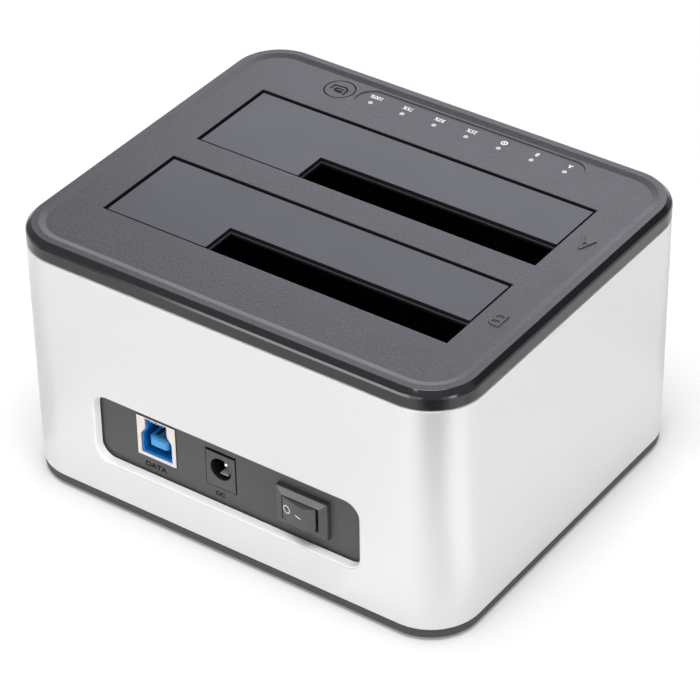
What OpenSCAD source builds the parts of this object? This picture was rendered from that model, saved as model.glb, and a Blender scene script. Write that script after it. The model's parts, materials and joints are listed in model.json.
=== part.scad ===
// Dual-bay hard drive docking station.
// +Z is up, the origin lies on the table below the middle of the body, and -Y is the port side.

/* [Bays] */
// Length of a bay's opening, for a 3.5-inch drive across its width
bay_l = 103.6; // [102.6:0.2:112]
// Width of a bay's opening, for a 3.5-inch drive across its thickness
bay_w = 29.2; // [27.6:0.1:34]
// Cover left between the two openings
bay_gap = 9.7; // [9.4:0.1:18]
// Length of the slot that a flap leaves open for a 2.5-inch drive
slot_l = 71.9; // [70.4:0.1:80]
// Width of the slot that a flap leaves open
slot_w = 11; // [9.6:0.1:13]
// From the port face to the nearer opening
port_space = 21.6; // [21.4:0.1:40]
// From the farther opening to the back face, over the indicators
back_space = 22.3; // [22:0.1:40]
// From the left face to the openings
left_space = 15.1; // [15:0.1:30]
// From the openings to the right face
right_space = 14.8; // [14.6:0.1:30]

/* [Shell] */
// Outer radius of the four upright corners
corner_r = 14.3; // [12:0.1:20]
// Height of the aluminium sleeve
sleeve_h = 67.2; // [60:0.1:90]
// Wall of the sleeve
sleeve_wall = 2.8; // [2:0.1:3.2]
// Bright bevel along the sleeve's edges
sleeve_bevel = 0.4; // [0.2:0.05:0.8]
// Upright band of the cover above the sleeve
band_h = 3.6; // [2.5:0.1:6]
// Glossy bevel round the cover
rim_bevel = 1.5; // [0.8:0.1:2.2]
// Height of the narrow bright facet below that bevel
rim_facet = 0.35; // [0.2:0.05:0.6]
// Flat shoulder inside the bevel
shoulder_w = 1.9; // [1:0.1:4]
// Slope from the shoulder down to the field
slope_w = 1.8; // [1:0.1:3]
// Depth of the textured field below the rim
field_drop = 0.4; // [0.2:0.1:0.8]
// Thickness of the cover's plate
cover_plate = 2.5; // [2.3:0.1:3.2]
// Shadow seam between the sleeve and the cover
seam_h = 0.25; // [0.1:0.05:0.6]
// Length of the skirt that plugs into the sleeve
skirt_h = 5; // [3:0.5:8]
// Thickness of the skirt and of the base's upstands
skirt_t = 1.8; // [1.2:0.1:2]
// Height of the base's lip under the sleeve
base_lip = 2.6; // [2.4:0.1:4]
// Set-back of the base's lip from the sleeve
base_inset = 0.3; // [0.1:0.1:1]
// Height of the base's upstands
upstand_h = 6; // [3:0.5:9]
// Drop of the feet below the base
foot_drop = 0.8; // [0.6:0.1:3]
// Diameter of a foot
foot_d = 12; // [8:0.5:16]
// Depth of a foot's seat in the base
foot_seat = 0.8; // [0.5:0.1:1.2]
// Diameter of the cover's screw pillars
pillar_d = 7; // [6:0.1:8]

/* [Flaps] */
// Gap at a flap's right end and near edge
flap_gap = 0.7; // [0.4:0.05:0.8]
// Gap at a flap's left end and hinge edge
flap_slack = 0.9; // [0.6:0.1:1.2]
// Depth of a flap's face below the field
flap_drop = 0.3; // [0.1:0.1:0.6]
// Thickness of a flap
flap_t = 2; // [1.6:0.1:2.2]
// Height of the upper edge above the lip in the slot
flap_edge = 1.2; // [0.8:0.1:1.4]
// Width of the lip in the slot
flap_lip = 0.4; // [0.2:0.05:0.6]
// Hinge axis behind the opening's edge
hinge_back = 2.4; // [2.2:0.1:3]
// Hinge axis below the cover's plate
hinge_drop = 2.4; // [2.2:0.1:3.4]
// Diameter of a hinge rod
rod_d = 1.6; // [1.2:0.1:1.8]
// Diameter of a flap's knuckles
knuckle_d = 3.2; // [3:0.1:3.3]
// Length of a knuckle
knuckle_l = 10; // [6:0.5:16]
// Thickness of the cover's hinge ears
ear_t = 2.5; // [1.6:0.1:4]
// Outer ears from the ends of the opening
ear_inset = 5; // [3:0.5:12]
// Wire of a flap spring
spring_wire = 0.4; // [0.3:0.05:0.5]
// Turns of a flap spring
spring_turns = 5; // [3:1:8]

/* [Ports] */
// Length of the port window
window_w = 81.8; // [78:0.2:88]
// Height of the port window
window_h = 20.4; // [19:0.2:24]
// Corner radius of the port window
window_r = 4.2; // [2:0.1:6]
// Middle of the port window, to the right of the body's middle
window_x = 0; // [-4:0.1:4]
// Lower edge of the window below the main board's upper face
window_drop = 4.4; // [3:0.1:8]
// Thickness of the port panel
panel_t = 1.6; // [1.2:0.1:2.4]
// Overlap of the panel behind the window's edge
panel_lap = 3; // [2:0.5:5]
// Shadow gap between the sleeve and the panel round the window
panel_gap = 0.5; // [0.3:0.1:0.8]
// Middle of the data socket
usb_x = -23.6; // [-26:0.1:-18]
// Width of the data socket's shell
usb_w = 12.2; // [12:0.1:13]
// Height of the data socket's shell
usb_h = 12.3; // [12:0.1:13]
// Depth of the data socket
usb_depth = 15.7; // [14:0.1:16.2]
// Middle of the power socket
dc_x = -3.4; // [-5:0.1:1]
// Width of the power socket
dc_w = 9; // [9:0.1:11]
// Height of the power socket
dc_h = 10.6; // [10.4:0.1:12]
// Depth of the power socket
dc_depth = 13.5; // [12:0.1:15]
// Bore of the power socket
dc_bore = 6.5; // [5.8:0.1:6.6]
// Centre pin of the power socket
dc_pin = 2; // [1.6:0.1:2.5]
// Middle of the rocker switch
switch_x = 22.5; // [20:0.1:26]
// Width of the switch's frame
switch_w = 15.5; // [15:0.1:17]
// Height of the switch's frame
switch_h = 11.2; // [10.6:0.1:12]
// Width of the switch's opening
rocker_opening = 11; // [10.8:0.1:11.4]
// Height of the rocker
rocker_h = 6.7; // [6:0.1:7]
// Tilt of the rocker either way from level
rocker_tilt = 14; // [8:0.5:14]

/* [Indicators] */
// Number of lights
led_count = 7; // [3:1:7]
// Spacing of the lights
led_pitch = 10; // [8:0.1:11]
// Diameter of a light guide's end
led_d = 1.4; // [1:0.1:2]
// Middle of the row, to the right of the body's middle
led_x = 5.5; // [2:0.1:8]
// Row of lights from the back face
led_back = 11.6; // [11:0.1:12]
// Middle of the shallow recess behind the row of lights
strip_back = 0.9; // [0:0.1:1]
// Width of that recess
strip_w = 9.5; // [8:0.1:11]
// Depth of the recess
strip_drop = 0.25; // [0.15:0.05:0.4]
// Diameter of the copy button
button_d = 8.2; // [7:0.1:9]
// Gap round the button
button_gap = 0.25; // [0.15:0.05:0.4]
// Middle of the button from the nearest light
button_step = 10.3; // [10.2:0.1:14]
// Travel of the button
button_travel = 0.8; // [0.3:0.1:0.9]

// Height of the raised letters beside the bays
letter_h = 5; // [3:0.1:6]
// Middle of those letters from the bays' right end
letter_step = 5.2; // [4:0.1:6]

/* [Boards] */
// Upper face of the main board above the table
board_z = 18.9; // [17:0.1:24]
// Thickness of the boards
board_t = 1.6; // [1.2:0.1:2]
// Gap between the main board and the bay frame's floor
board_gap = 2.4; // [2:0.1:5]
// Walls and floor of the bay frame
frame_wall = 1.6; // [1.2:0.1:1.8]
// Length of a drive connector
sata_l = 42.5; // [42:0.1:44]
// Width of a drive connector
sata_w = 6.6; // [6:0.1:7]
// Height of a drive connector above its board
sata_h = 9.6; // [8:0.1:12]
// Middle of a drive connector from the slot's right end
sata_back = 31; // [28:0.1:36]
// Middle of a drive connector from the slot's near edge
sata_in = 4.3; // [4:0.1:5]

/* [Fits] */
// Clearance between parts that plug together
fit = 0.15; // [0.05:0.05:0.25]
// Radial clearance of a rod or pivot in its hole
pin_fit = 0.05; // [0.02:0.01:0.1]
// Radial clearance of a screw in its pilot hole
screw_fit = 0.05; // [0.02:0.01:0.1]

/* [Hidden] */
$fn = 64;
over = 0.5;
hair = 0.01;
body_w = left_space + bay_l + right_space;
body_d = port_space + 2 * bay_w + bay_gap + back_space;
in_w = body_w - 2 * sleeve_wall;
in_d = body_d - 2 * sleeve_wall;
in_r = corner_r - sleeve_wall;
face_y = -body_d / 2;

// Heights of the shell
base_z = foot_drop;
sleeve_z = base_z + base_lip;
sleeve_top = sleeve_z + sleeve_h;
rim_z = sleeve_top + band_h + rim_bevel;
rim_lean = 22.5;
field_z = rim_z - field_drop;
plate_z = field_z - cover_plate;
field_inset = rim_bevel + shoulder_w + slope_w;
field_w = body_w - 2 * field_inset;
field_d = body_d - 2 * field_inset;
field_r = corner_r - field_inset;

// Bays: near edges of bay A (far) and bay B (near)
bay_x0 = -body_w / 2 + left_space;
bay_x1 = bay_x0 + bay_l;
bay_cx = (bay_x0 + bay_x1) / 2;
bay_b_y = face_y + port_space;
bay_a_y = bay_b_y + bay_w + bay_gap;
bay_ys = [bay_a_y, bay_b_y];

// Flaps and their hinges
flap_top = field_z - flap_drop;
flap_under = flap_top - flap_t;
axis_z = plate_z - hinge_drop;
axis_dy = bay_w + hinge_back;
flap_rise = flap_under - axis_z;
knuckle_play = 0.5;
arm_grip = 3.7;
arm_l = hinge_back + arm_grip;
arm_bite = 0.3;
swing_gap = 0.4;
tab_reach = 0.9;
tab_root = 2.5;
tab_w = 4;
tab_t = 1.8;
tab_inset = 1.5;
tab_gap = 0.2;
ear_wall = 1;
ear_clear = 0.3;
ear_back = 3;
ear_front = flap_rise - ear_clear;
ear_drop = rod_d / 2 + ear_wall;
ear_xs = [
    bay_x0 + ear_inset,
    bay_cx - knuckle_l / 2 - knuckle_play - ear_t,
    bay_cx + knuckle_l / 2 + knuckle_play,
    bay_x1 - ear_inset - ear_t
];
knuckle_xs = [
    ear_xs[0] + ear_t + knuckle_play,
    bay_cx - knuckle_l / 2,
    ear_xs[3] - knuckle_play - knuckle_l
];
rod_l = ear_xs[3] + ear_t - ear_xs[0];
spring_play = 0.3;
spring_space = 0.45;
spring_side = 1;
spring_r = rod_d / 2 + spring_play + spring_wire / 2;
spring_pitch = spring_wire + spring_space;
spring_x = knuckle_xs[0] + knuckle_l + spring_side;
spring_leg = 6;
spring_rise = 0.3;
spring_tip = flap_rise - spring_wire;
spring_sides = 6;
spring_steps = 12;

// Bay frame
floor_t = 2;
floor_z = board_z + board_gap;
floor_top = floor_z + floor_t;
well_end = 1.6;
well_near = 0.3;
far_back = flap_rise - tab_t - swing_gap;
well_far = axis_dy - far_back;
far_drop = arm_l * (knuckle_d / 2 + far_back) / (knuckle_d / 2 + flap_rise) + swing_gap;
guide_h = 14;
guide_w = 2;
guide_ys = [2.5, 21];
lug_below = 12;
lug_in = 5.2;
lug_z = plate_z - lug_below;
lug_thick = 2.2;
lug_w = 9;
lug_x = in_w / 2 - lug_in;
lug_ys = [bay_a_y + bay_w / 2, bay_b_y + bay_w / 2];
frame_boss_d = 5.4;

// Ports
panel_y = face_y + sleeve_wall + panel_gap;
panel_shade = 1.2;
window_z = board_z - window_drop + window_h / 2;
panel_w = window_w + 2 * panel_lap;
panel_lift = 0.4;
panel_z0 = sleeve_z + panel_lift;
panel_z1 = window_z + window_h / 2 + panel_lap;
port_gap = 0.45;
usb_z = board_z + usb_h / 2;
usb_sheet = 0.4;
usb_mouth_low = 4.9;
usb_mouth_high = 3.45;
usb_mouth_z = [1, 6.8, 8.8, 12];
usb_mouth_wall = 0.55;
usb_cavity = 9;
tongue_w = 5.8;
tongue_h = 2.6;
tongue_z = 3.6;
tongue_back = 0.8;
tongue_bevel = 0.6;
usb_contact_w = 1;
usb_contact_t = 0.25;
usb_contact_x = 1.25;
usb_contact_back = 0.6;
dc_rise = 5.9;
dc_z = board_z + dc_rise;
dc_bore_l = 10;
dc_pin_back = 2;
dc_leaf = [2.4, 8.5, 0.3];
dc_leaf_r = dc_bore / 2 - 0.65;
switch_rise = 4.85;
switch_z = board_z + switch_rise;
switch_edge = 1.4;
switch_proud = 2.1;
switch_body_w = 14.4;
switch_body_h = 8.8;
switch_back = 10.4;
rocker_cavity_w = 13.7;
rocker_cavity = 3;
switch_land = 0.1;
rocker_play = 0.25;
pivot_back = 3.3;
pivot_y = panel_y + pivot_back;
pivot_d = 2;
pivot_l = 0.7;
rocker_half = 3.9;
rocker_front = 6.5;
rocker_side = [5.85, 4.1];
rocker_skirt = [4.6, 1.2];
rocker_root = [1.5, -1.8];
terminal = [4.8, 5, 0.8];
terminal_x = 3.4;

// Indicators
led_y = body_d / 2 - led_back;
led_x0 = led_x - (led_count - 1) * led_pitch / 2;
led_x1 = led_x0 + (led_count - 1) * led_pitch;
button_x = led_x0 - button_step;
button_off = 0.6;
button_y = led_y + button_off;
ind_below = 11.3;
ind_margin = [1, 0.6];
ind_screw_out = [8.2, 5];
ind_edge = 3.5;
ind_top = field_z - ind_below;
ind_y0 = bay_a_y + well_far + frame_wall + ind_margin[0];
ind_y1 = in_d / 2 - fit - skirt_t - ind_margin[1];
ind_screw_xs = [button_x - ind_screw_out[0], led_x1 + ind_screw_out[1]];
ind_x0 = ind_screw_xs[0] - ind_edge;
ind_x1 = ind_screw_xs[1] + ind_edge;
ind_boss_d = 4.6;
led_size = [2, 1.3, 0.8];
guide_bar = [3, 1.5];
key_size = 6.2;
key_h = 3.4;
plunger_d = 3.4;
plunger_h = 5;
plunger_top = ind_top + plunger_h;
button_flange = [button_d + 1.5, 1];

// Raised letters
letter_rise = 0.25;
letter_stroke = 0.15 * letter_h;
letter_top = (letter_h - letter_stroke) / 2;
letter_half = 0.32 * letter_h;
letter_bar = 0.14 * letter_h;

// Screws: shank diameter, head diameter, head height, bite in the pilot hole
base_screw = [2.5, 5.6, 1.3, 10];
frame_screw = [2.2, 4.4, 1.5, 6];
board_screw = [2.5, 5, 1.6, 2.6];
ind_screw = [2, 3.8, 1.3, 4];
pilot_spare = 1;

// Cross in a screw's head: length and width in head diameters, depth in head heights
cross = [0.6, 0.16, 0.5];

// Places of the screws and feet
pillar_in = 1.2;
pillar_out = (in_r - pillar_d / 2) * cos(45) - pillar_in;
pillar_x = in_w / 2 - in_r + pillar_out;
pillar_y = in_d / 2 - in_r + pillar_out;
upstand_gap = 4;
foot_in = [13, 2];
foot_x = pillar_x - foot_in[0];
foot_y = pillar_y - foot_in[1];
board_in = [7, 1];
board_front = 0.6;
board_reach = 20;
board_x0 = bay_x0 + board_in[0];
board_x1 = bay_x1 - board_in[1];
board_y0 = panel_y + panel_t + board_front;
board_y1 = bay_a_y + board_reach;
board_screw_in = [6, 4];
board_screw_xs = [board_x0 + board_screw_in[0], board_x1 - board_screw_in[1]];
board_screw_ys = [bay_b_y + board_screw_in[0], board_y1 - board_screw_in[1]];
board_boss_d = 6;
sata_x = bay_x1 - sata_back;
sata_between = 2.4;
sata_slot = 1.6;
sata_depth = 6;
sata_counts = [7, 15];
contact = [0.6, 0.3, 5];
contact_pitch = 1.27;
contact_first = sata_slot + contact[0];
contact_spare = [0.38, 0.82];
sata_lengths = [for (i = [0, 1])
    contact_first + (sata_counts[i] - 1) * contact_pitch + contact[0] + contact_spare[i]];
sata_start = -(sata_lengths[0] + sata_lengths[1] + sata_between) / 2;
sata_starts = [sata_start, sata_start + sata_lengths[0] + sata_between];

// Small parts on the boards
ribbon_w = 12;
ribbon_side = 3;
ribbon_in = 6;
ribbon_x = board_screw_xs[0] + board_boss_d / 2 + ribbon_w / 2 + ribbon_side;
ribbon_t = 0.8;
ribbon_bend = 2;
ribbon_y = (ind_y0 + ind_y1) / 2 - ribbon_bend;
ribbon_end_y = board_y1 - ribbon_in;
plug_h = 1;
plug_d = 5;
chip = [10, 10, 1.1];
cap_d = 8;
cap_h = 11.5;
cap_gap = 1;
cap_back = 7.5;
cap_y = board_y0 + cap_back;
cap_xs = [for (i = [0, 1]) board_x1 - (cap_d + cap_gap) * (i + 0.5) - cap_gap / 2];
choke = [7, 7, 4];
part_back = 4;
part_side = 3;
lead_d = 1.3;

// Rounded rectangle about its middle
module rounded(w, d, r) {
    square([w - 2 * r, d], center = true);
    square([w, d - 2 * r], center = true);
    for (sx = [-1, 1], sy = [-1, 1])
        translate([sx * (w / 2 - r), sy * (d / 2 - r)]) circle(r);
}

// Rounded slab between two heights
module slab(w, d, r, z0, z1) {
    translate([0, 0, z0]) linear_extrude(z1 - z0) rounded(w, d, r);
}

// Box between two corners
module block(low, high) {
    translate(low) cube(high - low);
}

// Carries a profile round a rounded rectangle, with the profile's x = 0 on the outline
module swept(w, d, r) {
    for (sx = [0, 1], sy = [0, 1])
        mirror([sx, 0, 0]) mirror([0, sy, 0])
            translate([w / 2 - r, d / 2 - r, 0])
                rotate_extrude(angle = 90) translate([r, 0]) children();
    for (s = [0, 1])
        mirror([s, 0, 0])
            translate([w / 2, d / 2 - r, 0]) rotate([90, 0, 0]) linear_extrude(d - 2 * r) children();
    for (s = [0, 1])
        mirror([0, s, 0])
            translate([r - w / 2, d / 2, 0]) rotate([90, 0, 90]) linear_extrude(w - 2 * r) children();
}

// Bevel to cut from an edge at height z; side is 1 for an upper edge and -1 for a lower one
module edge_cut(z, b, side) {
    polygon([
        [over, z - side * (b + over)],
        [over, z + side * over],
        [-b - over, z + side * over]
    ]);
}

// Extrudes a (Y, Z) profile along X
module along_x(x0, l) {
    translate([x0, 0, 0]) rotate([90, 0, 90]) linear_extrude(l) children();
}

// Extrudes an (X, Z) profile along Y
module along_y(y0, l) {
    translate([0, y0 + l, 0]) rotate([90, 0, 0]) linear_extrude(l) children();
}

// Round bar along X
module bar_x(d, l) {
    rotate([0, 90, 0]) cylinder(d = d, h = l);
}

// Round bar along Y
module bar_y(d, l) {
    rotate([-90, 0, 0]) cylinder(d = d, h = l);
}

// Screw with a cross in its head, head down, that clamps a thickness t against its pilot hole at z = 0
module screw(size, t) {
    arm = [cross[0] * size[1], cross[1] * size[1], cross[2] * size[2]];
    translate([0, 0, -t - size[2]]) difference() {
        union() {
            cylinder(d = size[1], h = size[2]);
            cylinder(d = size[0], h = size[2] + t + size[3]);
        }
        for (turn = [0, 90])
            rotate([0, 0, turn]) translate([-arm[0] / 2, -arm[1] / 2, -over]) cube(arm + [0, 0, over]);
    }
}

// Pilot hole for a screw, upwards from z = 0
module pilot(size) {
    translate([0, 0, -over]) cylinder(d = size[0] + 2 * screw_fit, h = over + size[3] + pilot_spare);
}

// Hole through a thickness t, upwards from z = 0
module through(d, t) {
    translate([0, 0, -over]) cylinder(d = d, h = t + 2 * over);
}

// The four upright screw pillars' places
module at_pillars() {
    for (sx = [-1, 1], sy = [-1, 1]) translate([sx * pillar_x, sy * pillar_y, 0]) children();
}

// The bay frame's four lugs' places
module at_lugs() {
    for (sx = [-1, 1], y = lug_ys) translate([sx * lug_x, y, 0]) children();
}

// The main board's four screws' places
module at_board_screws() {
    for (x = board_screw_xs, y = board_screw_ys) translate([x, y, 0]) children();
}

// The window's outline, standing in the port face with its z outwards
module at_window() {
    translate([window_x, face_y, window_z]) rotate([90, 0, 0]) children();
}

module outer_sleeve() {
    color("silver") difference() {
        slab(body_w, body_d, corner_r, sleeve_z, sleeve_top);
        slab(in_w, in_d, in_r, sleeve_z - over, sleeve_top + over);
        swept(body_w, body_d, corner_r) edge_cut(sleeve_top, sleeve_bevel, 1);
        swept(body_w, body_d, corner_r) edge_cut(sleeve_z, sleeve_bevel, -1);
        at_window() slab(window_w, window_h, window_r, -sleeve_wall - over, over);
        at_window() swept(window_w, window_h, window_r) polygon([
            [-over, -sleeve_bevel],
            [0, -sleeve_bevel],
            [sleeve_bevel + over, over],
            [-over, over]
        ]);
    }
}

// Ear that holds a hinge rod under the cover
module hinge_ear(y0, x) {
    y = y0 + axis_dy;
    along_x(x, ear_t) polygon([
        [y - ear_front, plate_z + over],
        [y - ear_front, axis_z - ear_drop],
        [y + ear_drop, axis_z - ear_drop],
        [y + ear_back, axis_z],
        [y + ear_back, plate_z + over]
    ]);
}

// Everything that hangs below the cover's plate
module cover_underside() {
    at_pillars() translate([0, 0, sleeve_z]) cylinder(d = pillar_d, h = plate_z + over - sleeve_z);
    at_lugs() translate([0, 0, lug_z]) cylinder(d = frame_boss_d, h = plate_z + over - lug_z);
    for (x = ind_screw_xs)
        translate([x, led_y, ind_top]) cylinder(d = ind_boss_d, h = plate_z + over - ind_top);
    for (y0 = bay_ys, x = ear_xs) hinge_ear(y0, x);
}

// Bevel round the cover's rim with the narrow facet below it
module rim_cut() {
    low = rim_z - rim_bevel;
    lean = tan(rim_lean);
    step = rim_facet * lean / (1 - lean);
    polygon([
        [over, low - rim_facet - over / lean],
        [over, rim_z + over],
        [-rim_bevel - over, rim_z + over],
        [-step, low + step]
    ]);
}

// Shell of the cover before its openings are cut
module cover_shell() {
    difference() {
        union() {
            slab(body_w, body_d, corner_r, sleeve_top, rim_z);
            slab(in_w - 2 * fit, in_d - 2 * fit, in_r - fit, sleeve_top - skirt_h, sleeve_top + over);
        }
        slab(in_w - 2 * (fit + skirt_t), in_d - 2 * (fit + skirt_t), in_r - fit - skirt_t,
            sleeve_top - skirt_h - over, plate_z);
        swept(body_w, body_d, corner_r) rim_cut();
        swept(body_w, body_d, corner_r) polygon([
            [-sleeve_bevel - seam_h, sleeve_top - over],
            [-sleeve_bevel - seam_h, sleeve_top + seam_h],
            [over, sleeve_top + seam_h],
            [over, sleeve_top - over]
        ]);
        slab(field_w, field_d, field_r, field_z, rim_z + over);
        swept(field_w, field_d, field_r) polygon([
            [-over, field_z],
            [0, field_z],
            [slope_w, rim_z],
            [slope_w, rim_z + over],
            [-over, rim_z + over]
        ]);
    }
}

// Straight stroke of a letter between two points
module stroke(a, b) {
    along = (b - a) / norm(b - a) * letter_stroke / 2;
    across = [-along[1], along[0]];
    polygon([a - along - across, b + along - across, b + along + across, a - along + across]);
}

module letter_a() {
    stroke([-letter_half, -letter_top], [0, letter_top]);
    stroke([0, letter_top], [letter_half, -letter_top]);
    stroke([-letter_half / 2, -letter_bar], [letter_half / 2, -letter_bar]);
}

module letter_b() {
    bowl = letter_top / 2;
    side = bowl / 2;
    stroke([-letter_half + side, -letter_top], [-letter_half + side, letter_top]);
    for (v = [-letter_top, 0, letter_top]) stroke([-letter_half + side, v], [side, v]);
    for (v = [-bowl, bowl])
        translate([side, v]) intersection() {
            difference() {
                circle(bowl + letter_stroke / 2);
                circle(bowl - letter_stroke / 2);
            }
            translate([0, -letter_h / 2]) square(letter_h);
        }
}

// Puts a letter on the field beside a bay, to be read from the back
module beside_bay(y0) {
    translate([bay_x1 + letter_step, y0 + bay_w / 2, field_z - letter_rise]) rotate([0, 0, 180])
        linear_extrude(2 * letter_rise) children();
}

module top_cover() {
    color("dimgray") difference() {
        union() {
            cover_shell();
            cover_underside();
            beside_bay(bay_a_y) letter_a();
            beside_bay(bay_b_y) letter_b();
        }
        for (y0 = bay_ys)
            block([bay_x0, y0, plate_z - over], [bay_x1, y0 + bay_w, rim_z]);
        for (y0 = bay_ys)
            translate([ear_xs[0] - over, y0 + axis_dy, axis_z]) bar_x(rod_d, rod_l + 2 * over);
        translate([led_x, led_y + strip_back, 0])
            slab(led_x1 - led_x0 + strip_w, strip_w, strip_w / 2 - hair, field_z - strip_drop, rim_z);
        for (i = [0 : led_count - 1])
            translate([led_x0 + i * led_pitch, led_y, plate_z]) through(led_d + 2 * pin_fit, cover_plate);
        translate([button_x, button_y, plate_z]) through(button_d + 2 * button_gap, cover_plate);
        at_pillars() translate([0, 0, sleeve_z]) pilot(base_screw);
        at_lugs() translate([0, 0, lug_z]) pilot(frame_screw);
        for (x = ind_screw_xs) translate([x, led_y, ind_top]) pilot(ind_screw);
    }
}

// Straight upstand of the base along X (l) and Y (w)
module upstand(x, y, l, w) {
    translate([x - l / 2, y - w / 2, sleeve_z - over]) cube([l, w, upstand_h + over]);
}

module base_plate() {
    side_l = 2 * pillar_y - pillar_d - upstand_gap;
    back_l = 2 * pillar_x - pillar_d - upstand_gap;
    side_x = in_w / 2 - fit - skirt_t / 2;
    back_y = in_d / 2 - fit - skirt_t / 2;
    panel_back = panel_y + panel_t + fit;
    color("dimgray") difference() {
        union() {
            slab(body_w - 2 * base_inset, body_d - 2 * base_inset, corner_r - base_inset, base_z, sleeve_z);
            upstand(-side_x, 0, skirt_t, side_l);
            upstand(side_x, 0, skirt_t, side_l);
            upstand(0, back_y, back_l, skirt_t);
            upstand(window_x, panel_back + skirt_t / 2, panel_w, skirt_t);
        }
        swept(body_w - 2 * base_inset, body_d - 2 * base_inset, corner_r - base_inset)
            edge_cut(base_z, base_inset, -1);
        at_pillars() translate([0, 0, base_z]) through(base_screw[0] + 2 * fit, base_lip);
        at_pillars() translate([0, 0, base_z - over])
            cylinder(d = base_screw[1] + 4 * fit, h = base_screw[2] + over);
        for (sx = [-1, 1], sy = [-1, 1])
            translate([sx * foot_x, sy * foot_y, base_z - over])
                cylinder(d = foot_d + 2 * fit, h = foot_seat + over);
    }
}

// One drive well, open at the top, with its far wall lowered for the hinge
module well(y0) {
    x0 = bay_x0 - well_end;
    x1 = bay_x1 + well_end;
    y_near = y0 - well_near;
    y_far = y0 + well_far;
    difference() {
        block(
            [x0 - frame_wall, y_near - frame_wall, floor_z],
            [x1 + frame_wall, y_far + frame_wall, plate_z - fit]
        );
        block([x0, y_near, floor_top], [x1, y_far, plate_z]);
        block([x0, y_far - over, axis_z - far_drop], [x1, y_far + frame_wall + over, plate_z]);
    }
    for (gy = guide_ys) {
        block([x0 - over, y0 + gy, floor_z], [bay_x0 - fit, y0 + gy + guide_w, floor_top + guide_h]);
        block([bay_x1 + fit, y0 + gy, floor_z], [x1 + over, y0 + gy + guide_w, floor_top + guide_h]);
    }
}

// Screw lug at one end of the bay frame
module frame_lug(side, y) {
    wall_x = side < 0 ? bay_x0 - well_end : bay_x1 + well_end;
    end_x = side * (lug_x + frame_boss_d / 2);
    block(
        [min(wall_x, end_x), y - lug_w / 2, lug_z - lug_thick],
        [max(wall_x, end_x), y + lug_w / 2, lug_z]
    );
}

module bay_frame() {
    color("#202224") difference() {
        union() {
            for (y0 = bay_ys) well(y0);
            block(
                [bay_x0 - well_end - frame_wall, bay_b_y - well_near - frame_wall, floor_z],
                [bay_x1 + well_end + frame_wall, bay_a_y + well_far, floor_top]
            );
            for (side = [-1, 1], y = lug_ys) difference() {
                frame_lug(side, y);
                for (y0 = bay_ys)
                    block([bay_x0 - well_end, y0, 0], [bay_x1 + well_end, y0 + well_far, plate_z]);
            }
            at_board_screws() translate([0, 0, board_z]) cylinder(d = board_boss_d, h = floor_top - board_z);
        }
        for (y0 = bay_ys)
            translate([sata_x, y0 + sata_in, floor_z - over])
                linear_extrude(floor_t + 2 * over)
                    square([sata_l + 4 * fit, sata_w + 4 * fit], center = true);
        at_lugs() translate([0, 0, lug_z - lug_thick]) through(frame_screw[0] + 2 * fit, lug_thick);
        at_board_screws() translate([0, 0, board_z]) pilot(board_screw);
    }
}

module port_panel() {
    mid_z = (panel_z0 + panel_z1) / 2;
    dc_cut = [dc_w + port_gap, dc_h + 2 * port_gap];
    color("#4a4a4c") difference() {
        translate([window_x, panel_y, mid_z]) rotate([90, 0, 0])
            slab(panel_w, panel_z1 - panel_z0, window_r, -panel_t, panel_gap);
        at_window() slab(
            window_w + 2 * panel_shade,
            window_h + 2 * panel_shade,
            window_r + panel_shade,
            -sleeve_wall - panel_gap,
            over
        );
        along_y(panel_y - over, panel_t + 2 * over)
            translate([usb_x - usb_w / 2 - fit, usb_z - usb_h / 2 - fit])
                square([usb_w + fit + port_gap, usb_h + fit + port_gap]);
        along_y(panel_y - over, panel_t + 2 * over)
            translate([dc_x - dc_w / 2 - fit, board_z - fit]) square(dc_cut + [fit, fit]);
        along_y(panel_y - over, panel_t + 2 * over)
            translate([switch_x, switch_z])
                square([switch_body_w + 2 * fit, switch_body_h + 2 * fit], center = true);
    }
}

// Outline of a flap with its slot; the slot's two edges are drawn in by lip
module flap_outline(y0, lip) {
    notch_x = bay_x1 - slot_l + lip;
    notch_y = y0 + slot_w - lip;
    polygon([
        [bay_x0 + flap_slack, y0 + flap_gap],
        [notch_x, y0 + flap_gap],
        [notch_x, notch_y],
        [bay_x1 - flap_gap, notch_y],
        [bay_x1 - flap_gap, y0 + bay_w - flap_slack],
        [bay_x0 + flap_slack, y0 + bay_w - flap_slack]
    ]);
}

// Arm and barrel of one knuckle
module knuckle(y0, x) {
    y = y0 + axis_dy;
    translate([x, y, axis_z]) bar_x(knuckle_d, knuckle_l);
    edge_y = y0 + bay_w - flap_slack - arm_bite;
    along_x(x, knuckle_l) polygon([
        [y - arm_l, flap_under],
        [y - arm_l, flap_under + arm_bite],
        [edge_y, flap_under + arm_bite],
        [edge_y, axis_z + knuckle_d / 2],
        [y, axis_z + knuckle_d / 2],
        [y, axis_z - knuckle_d / 2]
    ]);
}

// Stop tab that meets the cover's underside when the flap is shut, at the opening's end x
module stop_tab(end_x, gap, side, y) {
    x = end_x - side * gap;
    root_x = x - side * tab_root;
    tip_x = end_x + side * tab_reach;
    low = flap_under - tab_t;
    block([min(x, root_x), y, low], [max(x, root_x), y + tab_w, flap_under + arm_bite]);
    block([min(x, tip_x), y, low], [max(x, tip_x), y + tab_w, plate_z - tab_gap]);
}

module flap(y0) {
    color("#5e5f66") difference() {
        union() {
            translate([0, 0, flap_top - flap_edge]) linear_extrude(flap_edge) flap_outline(y0, 0);
            translate([0, 0, flap_under]) linear_extrude(flap_t - flap_edge) flap_outline(y0, flap_lip);
            for (x = knuckle_xs) knuckle(y0, x);
            stop_tab(bay_x0, flap_slack, -1, y0 + flap_gap + tab_inset);
            stop_tab(bay_x1, flap_gap, 1, y0 + slot_w + tab_inset);
        }
        translate([bay_x0, y0 + axis_dy, axis_z]) bar_x(rod_d + 2 * pin_fit, bay_l);
    }
}

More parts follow.
